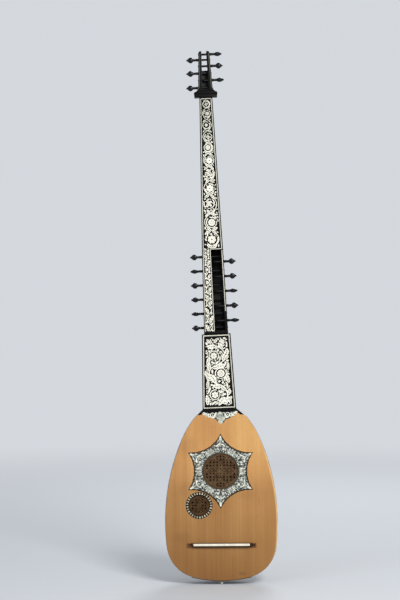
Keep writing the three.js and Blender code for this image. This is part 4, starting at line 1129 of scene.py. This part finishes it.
def star_point(art, bright, axis):
    """The mosaic of one point of the star and of the hollow side that follows it."""
    out_x, out_z = math.cos(axis), math.sin(axis)

    def at(u, v):
        return (ROSE_X + u * out_x - v * out_z, ROSE_Z + u * out_z + v * out_x)

    def place_leaf(target, u, v, aim, length, width, bend, lobes=2):
        target.add(leaf(*at(u, v), axis + aim, length, width, bend, lobes))
    place_leaf(art, 83, 0, 0, 22, 9.5, 0, 3)
    art.engrave([at(86, 0), at(102, 0)], (0.45, 0.2))
    for spread in (-0.22, 0, 0.22):
        place_leaf(art if spread else bright, 104.5, 6 * spread, spread * 0.5, 19, 3.4, -spread * 0.7)
    for side in (-1, 1):
        x, z = at(77.5, side * 9.4)
        bright.add(circle(x, z, 4.7, 16))
        art.mark_disc(x, z, 6.2)
        art.engrave(circle(x, z, 2.6, 12), 0.3, closed=True)
        bright.add_band([at(119.5, side * 0.9), at(109, side * 4.2), at(99, side * 9.2)], [0.5, 0.9, 0.6])
        place_leaf(bright, 84, side * 15.5, -side * 0.5, 19, 5.4, -side * 0.8)
        for out, aside, aim, length, width, bend in STAR_LEAVES:
            place_leaf(art, out, side * aside, side * aim, length, width, side * bend)
    for k, (low, high) in enumerate(STAR_BARS, -(len(STAR_BARS) // 2)):
        angle = axis + (math.pi / STAR_POINTS + k * STAR_BAR_ANGLE)
        bar = [polar(ROSE_X, ROSE_Z, radius, angle) for radius in (low, (low + high) / 2, high)]
        (art if k % 2 else bright).add_band(bar, STAR_BAR_HALF)


def star_mosaic():
    edge = star_outline(STAR_MOSAIC_INSET)

    def inside(x, z):
        return within(edge, x, z) & (np.hypot(x - ROSE_X, z - ROSE_Z) > ROSE_RADIUS + STAR_MOSAIC_GAP)
    ground = [star_outline(STAR_GROUND_INSET), circle(ROSE_X, ROSE_Z, ROSE_RADIUS, 72)]
    outline_plate("star_ground", ground, GROUND_LAYER, body_point, GREY_PEARL)
    bounds = tuple((middle - STAR_RADIUS, middle + STAR_RADIUS) for middle in (ROSE_X, ROSE_Z))
    art, bright = Ornament(bounds, inside), Ornament(bounds, inside)
    for point in range(STAR_POINTS):
        star_point(art, bright, math.pi / 2 + TURN * point / STAR_POINTS)
    art.taken |= bright.taken
    art.fill(random.Random(5), (2.8, 2.1, 1.5), 0.7, 2200)
    add_piece("star_mosaic", art.pale_solid(PEARL_LAYER, body_point), PEARL, replaces=("star_panel",))
    add_piece("star_highlights", bright.pale_solid(BRIGHT_LAYER, body_point), WHITE_PEARL)
    add_piece("star_engraving", art.dark_solid(STAR_LINES_LAYER, body_point), MASTIC)
    ring = [circle(ROSE_X, ROSE_Z, ROSE_RADIUS + more, FINE) for more in (ROSE_RING_OUT, ROSE_RING_IN)]
    outline_plate("rose_edge_ring", ring, ROSE_RING_LAYER, body_point, RIM_WOOD, bevel=ROSE_RING_BEVEL)


def ring_mosaic():
    """Tapered pearl pieces round the small rose, each with a short one outside it."""
    loops = [circle(SMALL_X, SMALL_Z, radius, FINE) for radius in (SMALL_RING, SMALL_RADIUS)]
    outline_plate("small_rose_ring_ground", loops, GROUND_LAYER, body_point, MASTIC,
                  replaces=("small_rose_ring",))
    pieces = Solid()
    for k in range(RING_PIECES):
        angle = TURN * k / RING_PIECES
        for low, high, wide in RING_SHAPES:
            corners = ((low, -wide), (high, -wide), (high + RING_POINT, 0), (high, wide), (low, wide))
            outline = [polar(SMALL_X, SMALL_Z, radius, angle + aside) for radius, aside in corners]
            pieces.prism(outline, PEARL_LAYER, body_point)
    add_piece("small_rose_mosaic", pieces, WARM_PEARL)


# Beard below the collar: its half width, depth and turning points as shares of both, and where its top lies
BEARD_HALF = 56
BEARD_DEPTH = 51
BEARD_TURNS = ((0.88, 0.53), (0.6, 0.53), (0.5, 0.71), (0.32, 0.65), (0.2, 0.89), (0, 1))
BEARD_TOP = 9.05
BEARD_BOX = ((-62, 56), (550, 602))
BEARD_GROUND_INSET, BEARD_LEAF_INSET, BEARD_WING_INSET = 0.2, 1.2, 0.8
# its middle leaf: place, direction, length, width; and the turns of the lines engraved on it
BEARD_MIDDLE = -3.4
MIDDLE_LEAF = (BEARD_MIDDLE - 0.4, 597, 0.07 - math.pi / 2, 43.5, 27)
MIDDLE_LINES = ((5, 590), (14, 577), (6, 563))
# its side coils, each with a flower inside
BEARD_COIL_X, BEARD_COIL_Z, BEARD_COIL = 26.3, 586.6, 7.0
BEARD_COIL_START, BEARD_COIL_SWEEP = -2.4, 5.0
BEARD_FLOWER, BEARD_COIL_INSIDE = 2.0, 5.2
# its side leaves: place, direction, length, width
BEARD_LEAVES = ((15, 592, -1.2, 16, 7.4), (36, 592, -0.75, 18, 8.0), (44.5, 593.5, -0.5, 16, 7.0),
                (51, 596.4, -0.35, 10, 5.2), (33.5, 581.5, -0.1, 13, 6.0), (17, 578.5, -0.35, 12, 6.0),
                (10, 594, -0.4, 8, 4.4))


def beard_outline(inset):
    half, depth = BEARD_HALF - inset, BEARD_DEPTH - inset
    right = [(half * across, NECK_JOINT - depth * down) for across, down in BEARD_TURNS]
    left = [(-x, z) for x, z in right[::-1]]
    top = NECK_JOINT - BEARD_TOP - inset
    corners = [(NECK_SHIFT + x * math.cos(NECK_LEAN), top + x * math.sin(NECK_LEAN)) for x in (half, -half)]
    points = [corners[0], *right, *left[1:], corners[1]]
    outline = []
    for start, control, end in zip(points[::2], points[1::2], points[2::2]):
        for t in (0, 0.2, 0.4, 0.6, 0.8):
            first, middle, last = (1 - t) ** 2, 2 * t * (1 - t), t * t
            outline.append(tuple(first * start[i] + middle * control[i] + last * end[i] for i in (0, 1)))
    return outline + [corners[1]]


def beard():
    ground = Solid()
    ground.prism(beard_outline(BEARD_GROUND_INSET), GROUND_LAYER, body_point)
    add_piece("beard_ground", ground, MASTIC, replaces=("beard_inlay",))

    def panel(inset):
        edge = beard_outline(inset)
        return Ornament(BEARD_BOX, lambda x, z: within(edge, x, z))
    centre, wings = panel(BEARD_LEAF_INSET), panel(BEARD_WING_INSET)
    centre.add(leaf(*MIDDLE_LEAF))
    for spread in (-0.5, 0, 0.5):
        line = [(BEARD_MIDDLE + aside * spread, z) for aside, z in MIDDLE_LINES]
        centre.engrave(line, [0.5, 0.5, 0.2])
    for side in (-1, 1):
        # the neck leans, so that the right side stands higher, by one in 26
        x, z = BEARD_MIDDLE + side * BEARD_COIL_X, BEARD_COIL_Z + side
        start = side * BEARD_COIL_START + (math.pi if side < 0 else 0)
        wings.add_band(coil(x, z, BEARD_COIL, start, side * BEARD_COIL_SWEEP, 24, 0), (2.3, 1.4))
        wings.add(flower(x, z, BEARD_FLOWER, 5, 0.4 * side, 0.2))
        wings.mark_disc(x, z, BEARD_COIL_INSIDE)
        for u, v, aim, length, width in BEARD_LEAVES:
            root = (BEARD_MIDDLE + side * u, v + side * u / 26)
            wings.add(leaf(*root, mirrored(aim, side), length, width, side * 0.4, lobes=2))
    for outline in centre.pale:
        wings.mark_outline(outline)
    wings.fill(random.Random(31), (2.2, 1.6, 1.2), 0.5, 1200)
    add_piece("beard_leaf", centre.pale_solid(PEARL_LAYER, body_point), PEARL)
    add_piece("beard_mosaic", wings.pale_solid(BRIGHT_LAYER, body_point), WHITE_PEARL)
    add_piece("beard_engraving", centre.dark_solid(BEARD_LINES_LAYER, body_point), MASTIC)


star_mosaic()
ring_mosaic()
beard()


# Roses: a pierced plate with raised interlaced straps
ROSE_EDGE = 3.8
EDGE_HOLE_INSET = 2.4
EDGE_HOLE_PITCH = 5.2
EDGE_HOLE = 1.05
FRET_BEVEL = 0.18
# straps round the holes: half width, height, step in height, and how far they reach over the edge
FINE_STRAP, FINE_STRAP_HEIGHT, FINE_STRAP_STEP, STRAP_OVERLAP = 0.42, 0.42, 0.02, 1.2
# large straps, each with its half width and height: round the edge, round the middle, and six that interlace
EDGE_STRAP, MIDDLE_STRAP, LOOP_STRAP = (0.7, 0.6), (1.1, 0.98), (1.15, 0.75)
EDGE_STRAP_INSET = 0.2
LOOP_SHARE, LOOP_STEP = 0.49, 0.03


def pierced_rose(name, x, z, radius, pitch, opening, wood):
    row_pitch = pitch * math.sqrt(3) / 2
    reach = math.ceil(radius / row_pitch)
    inside = radius - ROSE_EDGE
    holes, straps = [], Solid()

    def strap(centre, ring_radius, steps, half, height):
        straps.band(circle(*centre, ring_radius, steps), half, (-height, STRAP_BACK), body_point, closed=True)
    for row in range(-reach, reach + 1):
        for column in range(-2 * reach, 2 * reach + 1):
            across, up = pitch * (column + row / 2), row_pitch * row
            away, centre = math.hypot(across, up), (x + across, z + up)
            wide = row % 2 == 0 and (column + row // 2) % 2 == 0
            hole = opening * (mix(1.9, 1.7, away / radius) if wide else 0.72)
            if away + hole < inside:
                star = flower(*centre, 1.06 * hole, 6, math.pi / 6, 0.24, steps=4)
                holes.append(star if wide else circle(*centre, hole, 8))
            if away + 0.5 * pitch < inside + STRAP_OVERLAP:
                height = FINE_STRAP_HEIGHT + FINE_STRAP_STEP * ((row + 2 * column) % 5)
                strap(centre, (0.64 if wide else 0.36) * pitch, 12, FINE_STRAP, height)
    rim = radius - EDGE_HOLE_INSET
    for centre in circle(x, z, rim, round(TURN * rim / EDGE_HOLE_PITCH)):
        holes.append(circle(*centre, EDGE_HOLE, 8))
    loops = [circle(x, z, radius + ROSE_LIP, FINE), *holes]
    outline_plate(name + "_fretwork", loops, (ROSE_FRONT, ROSE_THICKNESS), body_point, wood,
                  bevel=FRET_BEVEL, replaces=(name,))
    strap((x, z), inside - EDGE_STRAP_INSET, FINE, *EDGE_STRAP)
    strap((x, z), 0.2 * inside, 36, *MIDDLE_STRAP)
    half, height = LOOP_STRAP
    for k in range(6):
        centre = polar(x, z, LOOP_SHARE * inside, math.pi / 3 * k + math.pi / 6)
        strap(centre, LOOP_SHARE * inside, 60, half, height + LOOP_STEP * k)
    add_piece(name + "_straps", straps, wood)


pierced_rose("rose_main", ROSE_X, ROSE_Z, ROSE_RADIUS, 5.9, 1.95, ROSE_WOOD)
pierced_rose("rose_small", SMALL_X, SMALL_Z, SMALL_RADIUS, 5.6, 1.9, SMALL_ROSE_WOOD)


# Pegs: turned shafts with flattened pointed heads
# stem outside the pegbox: place and radius; and its beads, with their places as shares of the stem
PEG_STEM = ((0.2, PEG_FACE), (1.0, 4.9), (PEG_STAND * 0.45, 4.7), (PEG_STAND * 0.7, 4.0))
PEG_BEADS = ((0.82, 4.2), (0.86, 5.0), (0.92, 5.0), (0.96, 4.2))
# head: place, width and thickness as shares of its own
PEG_PROFILE = (
    (0.0, 0.37, 0.62), (0.05, 0.42, 0.7), (0.1, 0.5, 0.78), (0.2, 0.76, 0.93), (0.32, 0.95, 1.0),
    (0.43, 1.0, 1.03), (0.54, 0.96, 1.0), (0.66, 0.79, 0.91), (0.77, 0.53, 0.74), (0.85, 0.32, 0.54),
    (0.89, 0.26, 0.44), (0.93, 0.32, 0.54), (0.965, 0.28, 0.47), (0.99, 0.14, 0.24))


def peg(name, side, z, turn, depth, face, reach):
    """A peg that leaves its pegbox at the face; its head is turned, and its shaft reaches into the pegbox."""
    spin = math.radians(turn)

    def ring(along, wide, thick):
        points = []
        for k in range(PEG_SIDES):
            phase = TURN * k / PEG_SIDES
            u, v = wide * math.sin(phase), thick * math.cos(phase)
            points.append(neck_point(side * (face + along), depth + (v * math.cos(spin) - u * math.sin(spin)),
                                     z + (v * math.sin(spin) + u * math.cos(spin))))
        return points
    stations = [(-reach, PEG_TIP * 0.8), (-reach + PEG_TIP_LENGTH, PEG_TIP), *PEG_STEM]
    stations += [(PEG_STAND * share, radius) for share, radius in PEG_BEADS]
    rings = [ring(along, radius, radius) for along, radius in stations]
    rings += [ring(PEG_STAND + PEG_HEAD * along, PEG_HEAD_WIDE * wide, PEG_HEAD_THICK * thick)
              for along, wide, thick in PEG_PROFILE]
    solid = Solid()
    solid.loft(rings)
    add_piece(name + "_turned", solid, PEG_EBONY, body=name, replaces=(name,), smooth_angle=50)


def head_half(z):
    """Half the upper pegbox's width above its waist."""
    return between(z, HEAD_FOOT + HEAD_WAIST_RISE, HEAD_TOP, HEAD_WAIST_HALF, HEAD_TOP_HALF)


def through(z, half):
    """Length of a shaft that goes through both cheeks."""
    return 2 * half + SHAFT_PAST_CHEEK


def into_slot(z, half):
    """Length of a shaft that ends in the cheek beside the ivory leg."""
    return half - slot_left(z) + SHAFT_PAST_SLOT


# Rows of pegs: name, side, depth, width and length of the shaft, and height and turn of each peg
PEG_ROWS = (
    ("lower_left", -1, LOWER_PEG_DEPTH, arm_half, through,
     [(LEFT_PEG_TOP - LEFT_PEG_PITCH * k, turn) for k, turn in enumerate((0, 75, 0, 40, 75, 0))]),
    ("lower_right", 1, LOWER_PEG_DEPTH, arm_half, into_slot,
     [(RIGHT_PEG_TOP - RIGHT_PEG_PITCH * k, turn) for k, turn in enumerate((0, 0, 75, 0, 75))]),
    ("upper_left", -1, UPPER_PEG_DEPTH, head_half, through,
     [(ARM_LENGTH + HEAD_LENGTH * share, 0) for share in (0.819, 0.528, 0.216)]),
    ("upper_right", 1, UPPER_PEG_DEPTH, head_half, through,
     [(ARM_LENGTH + HEAD_LENGTH * share, turn) for share, turn in ((0.934, 75), (0.681, 0), (0.375, 75))]),
)
for row, side, depth, half_at, reach_of, pegs in PEG_ROWS:
    for number, (z, turn) in enumerate(pegs, 1):
        peg(f"peg_{row}_{number}", side, z, turn, depth, half_at(z), reach_of(z, half_at(z)))


# Bridge: a dark bar, brown blocks at its ends and their carving
def rounded(half_length, half_width, corner):
    outline = []
    for k, (across, up) in enumerate(((1, 1), (-1, 1), (-1, -1), (1, -1))):
        centre = (across * (half_length - corner), up * (half_width - corner))
        outline += [polar(*centre, corner, math.pi / 2 * (k + t / 4)) for t in range(5)]
    return outline


# carved leaves of a block: place from the block's inner end, direction, length, width
BLOCK_LEAVES = ((1.0, 5.4, -0.55, 11, 5.2), (1.0, -4.8, 0.35, 9.5, 4.6), (9.5, -3.4, 0.2, 6.5, 3.2),
                (11.5, 3.0, -0.15, 6, 2.8), (6.5, 0.6, 0.1, 3.6, 2.6))


def bridge():
    bar = rounded(BRIDGE_BAR_LENGTH / 2, BRIDGE_BAR_HALF, BRIDGE_BAR_CORNER)
    outline_plate("bridge_bar", [bar], (BOARD_FRONT - BRIDGE_BAR_HEIGHT, BOARD_FRONT), bridge_point, BRIDGE_WOOD,
                  bevel=BRIDGE_BAR_BEVEL, replaces=("bridge",))
    low, high = BRIDGE_BAR_LENGTH / 2 + BRIDGE_BLOCK_GAP, BRIDGE_LENGTH / 2
    front = BOARD_FRONT - BRIDGE_BLOCK_HEIGHT
    block = [(low, -7.6), (low + 5, -8), (low + 11, -7.0), (high - 6, -7.8), (high - 1.2, -6.2), (high, -1.5),
             (high - 1.8, 1.6), (high - 0.6, 5.2), (high - 4.5, 7.6), (low + 9, 6.8), (low + 4, 7.8), (low, 7.4)]
    loops = [curve_path([(side * x, z) for x, z in block][::side], 4) for side in (1, -1)]
    outline_plate("bridge_blocks", loops, (front, BOARD_FRONT), bridge_point, BLOCK_WOOD,
                  bevel=BRIDGE_BLOCK_BEVEL)
    carving = Solid()
    for side in (-1, 1):
        for k, (x, z, aim, length, width) in enumerate(BLOCK_LEAVES):
            outline = leaf(side * (low + x), z, mirrored(aim, side), length, width, side * 0.4, lobes=2)
            layer = (front - CARVING_RISE - CARVING_STEP * k, front + CARVING_ROOT)
            carving.prism(outline, layer, bridge_point)
    add_piece("bridge_carving", carving, MASTIC)


bridge()


# Bowl: the same ribs with finer stations, light lines between them and linings inside
def bowl_point(station, angle, inset):
    width, height, across, up, lean = station
    full, thin = BOWL_DEPTH / BODY_HALF_WIDTH, BOWL_DEPTH_AT_NECK / NECK_FOOT_HALF
    share = mix(full, thin, rising(height, DEPTH_TAPER_START, NECK_JOINT))
    reach, depth = width / math.cos(BOWL_BULGE), width * share
    x, y = reach * math.cos(angle), depth * (math.sin(BOWL_BULGE) + math.sin(angle))
    around = Vector((-reach * math.sin(angle), depth * math.cos(angle), 0))
    along = Vector((x, y, 0)) * (-up / width)
    along.z = across
    moved = Vector((x, y, height)) - around.cross(along).normalized() * inset
    leaned_x = NECK_SHIFT + moved.x * math.cos(NECK_LEAN)
    rise = lean * moved.x * math.sin(NECK_LEAN)
    return body_point(mix(moved.x, leaned_x, lean), max(moved.y, 0), moved.z + rise)


def bowl_strip(solid, stations, first, last, cut, outer, inner):
    """A strip between two rib joints, narrower by the cut at both sides; with one joint it stands over it."""
    span = math.pi + 2 * BOWL_BULGE
    rings = []
    for station in stations:
        low = -BOWL_BULGE + span * first / RIB_COUNT + cut / station[0]
        high = -BOWL_BULGE + span * last / RIB_COUNT - cut / station[0]
        corners = ((low, outer), (high, outer), (high, inner), (low, inner))
        rings.append([bowl_point(station, angle, inset) for angle, inset in corners])
    solid.loft(rings)


def bowl():
    stations = body_stations()
    for number in range(1, RIB_COUNT + 1):
        rib = Solid()
        bowl_strip(rib, stations, number - 1, number, RIB_JOINT / 2 + RIB_TRIM, BOWL_SKIN, RIB_THICKNESS)
        name = f"rib_{number:02d}"
        add_piece(name + "_strip", rib, RIB, replaces=(name,), smooth_angle=40)
    spacers, linings = Solid(), Solid()
    lined = [station for station in stations if LINING_FOOT < station[1] < LINING_TOP]
    outer, inner = RIB_THICKNESS + LINING_GAP, RIB_THICKNESS + LINING_BACK
    for joint in range(1, RIB_COUNT):
        bowl_strip(spacers, stations, joint, joint, -SPACER_HALF, BOWL_SKIN - SPACER_RISE, RIB_THICKNESS)
        bowl_strip(linings, lined, joint, joint, -LINING_HALF, outer, inner)
    add_piece("rib_spacers", spacers, BONE, smooth_angle=40)
    add_piece("rib_linings", linings, INNER, smooth_angle=40)


bowl()


# CAD pieces with round backs or worked edges, copied with their facets smoothed and their edges broken
def worked_copy(node_name, pick=None, **bevel):
    """A copy of a CAD mesh with its flat faces joined and the picked edges bevelled."""
    mesh = nodes[node_name].data.copy()
    with edited(mesh) as work:
        bmesh.ops.remove_doubles(work, verts=work.verts, dist=WELD)
        bmesh.ops.dissolve_limit(work, angle_limit=FLAT, verts=work.verts, edges=work.edges)
        if pick:
            bmesh.ops.bevel(work, geom=pick(work), affect="EDGES", **bevel)
        bmesh.ops.triangulate(work, faces=[face for face in work.faces if len(face.verts) > 4])
    return mesh


def worked(node_name, material, angle=32, bevel=0, longest_left=0):
    """A smoothed piece. With a bevel, its edges are broken, apart from those up to a length."""
    def pick(work):
        return [edge for edge in work.edges if len(edge.link_faces) == 2 and edge.calc_face_angle(0) > EDGE_ANGLE
                and edge.calc_length() > longest_left * MM]
    mesh = worked_copy(node_name, pick if bevel else None, offset=bevel * MM, segments=2, profile=0.6,
                       clamp_overlap=not longest_left)
    mesh.name = node_name + "_worked"
    smooth(mesh, angle)
    finish_piece(mesh.name, mesh, material, BODY, (node_name,))


def rounded_soundboard(radius):
    """The soundboard with its front edge rounded all round the outline, but not round the roses."""
    near, steep, margin = 0.01 * MM, math.radians(60), 8
    holes = ((ROSE_X, ROSE_Z, ROSE_RADIUS), (SMALL_X, SMALL_Z, SMALL_RADIUS))

    def pick(work):
        front, back = min(vert.co.y for vert in work.verts), max(vert.co.y for vert in work.verts)

        def on_outline(edge):
            if not all(abs(vert.co.y - front) < near for vert in edge.verts) or len(edge.link_faces) != 2:
                return False
            if edge.calc_face_angle(0) < steep:
                return False
            if not any(abs(vert.co.y - back) < near for face in edge.link_faces for vert in face.verts):
                return False
            middle = (edge.verts[0].co + edge.verts[1].co) / (2 * MM)
            return not any(math.hypot(middle.x - x, middle.z - z) < hole + margin for x, z, hole in holes)
        return [edge for edge in work.edges if on_outline(edge)]
    mesh = worked_copy("soundboard", pick, offset=radius * MM, segments=4, profile=0.5, clamp_overlap=True)
    mesh.name = "soundboard_rounded"
    mesh.set_sharp_from_angle(angle=math.radians(35))
    round_faces = [max(abs(part) for part in face.normal) < 0.9999 for face in mesh.polygons]
    mesh.polygons.foreach_set("use_smooth", round_faces)
    finish_piece(mesh.name, mesh, SPRUCE, BODY, ("soundboard",))


def head_lines():
    """Pale lines along both cheeks of the upper pegbox, which spread at its foot."""
    lines = Solid()
    for side in (-1, 1):
        path = []
        for k in range(13):
            z = mix(*HEAD_LINE_ENDS, k / 12)
            spread = HEAD_LINE_SPREAD * (1 - rising(z, HEAD_FOOT, HEAD_FOOT + HEAD_WAIST_RISE))
            path.append((side * (head_half(z) - HEAD_LINE_INSET + spread), z))
        lines.band(path, HEAD_LINE_HALF, HEAD_LINE_LAYER, neck_point)
    add_piece("upper_pegbox_lines", lines, HEAD_LINE)


worked("neck", NECK_EBONY)
worked("arm", NECK_EBONY)
rounded_soundboard(BOARD_EDGE_RADIUS)
worked("upper_nut", HEAD_EBONY, bevel=1.4)
worked("upper_pegbox", HEAD_EBONY, bevel=1.5, longest_left=3.0)
head_lines()
worked("lower_nut", EBONY, bevel=0.7)
worked("bridge_cap", BONE, bevel=0.6)
worked("end_button", BUTTON_IVORY, angle=50)
worked("end_clasp", NECK_EBONY, angle=40)

# Stage, in metres
PALE = (0.66, 0.69, 0.73)
SKY_LIGHT = (0.9, 0.95, 1.0)
SKY_STRENGTH = 0.38
FLOOR_TONE = (0.58, 0.605, 0.64)
FLOOR_RADIUS = 60
FLOOR_FADE = (1.2, 5.5)


def make_sky():
    world = bpy.data.worlds.new("studio")
    world.use_nodes = True
    bpy.context.scene.world = world
    sky = Nodes(world.node_tree)
    light = sky.tree.nodes["Background"]
    sky.feed(light.inputs["Color"], SKY_LIGHT)
    sky.feed(light.inputs["Strength"], SKY_STRENGTH)
    backdrop = sky.node("ShaderNodeBackground", {"Color": PALE, "Strength": 1})
    sky.mix_shaders(sky.seen(), light, backdrop, "World Output")


def make_floor():
    """A wide floor that fades into the background."""
    paint = Paint("studio_floor", 0.9)
    paint.set("Base Color", FLOOR_TONE)
    away = paint.node("ShaderNodeVectorMath", {0: paint.place}, operation="LENGTH").outputs["Value"]
    glow = paint.node("ShaderNodeEmission", {"Color": PALE})
    far = paint.product(paint.step(away, *FLOOR_FADE), paint.seen())
    paint.mix_shaders(far, paint.shader, glow, "Material Output")
    mesh = bpy.data.meshes.new("studio_floor")
    rim = circle(0, 0, FLOOR_RADIUS, 64)
    mesh.from_pydata([(x, y, 0) for x, y in rim], [], [tuple(range(len(rim)))])
    mesh.materials.append(paint.material)
    floor = bpy.data.objects.new("studio_floor", mesh)
    bpy.context.scene.collection.objects.link(floor)


def area_light(name, place, target, size, power, colour=WHITE):
    data = bpy.data.lights.new(name, "AREA")
    data.shape = "DISK"
    data.size = size
    data.energy = power
    data.color = colour
    lamp = bpy.data.objects.new(name, data)
    lamp.location = place
    lamp.rotation_euler = (Vector(target) - Vector(place)).to_track_quat("-Z", "Y").to_euler()
    bpy.context.scene.collection.objects.link(lamp)


bpy.context.scene.view_settings.view_transform = "Standard"
make_sky()
make_floor()
area_light("key", (1.6, -3.4, 3.2), (0, 0, 1.0), 1.6, 172, (1, 0.98, 0.95))
area_light("fill", (-3.2, -3.0, 1.6), (0, 0, 0.9), 2.2, 42, (0.93, 0.97, 1))
area_light("back", (0.8, 3.4, 2.8), (0, 0, 0.8), 2.0, 70)
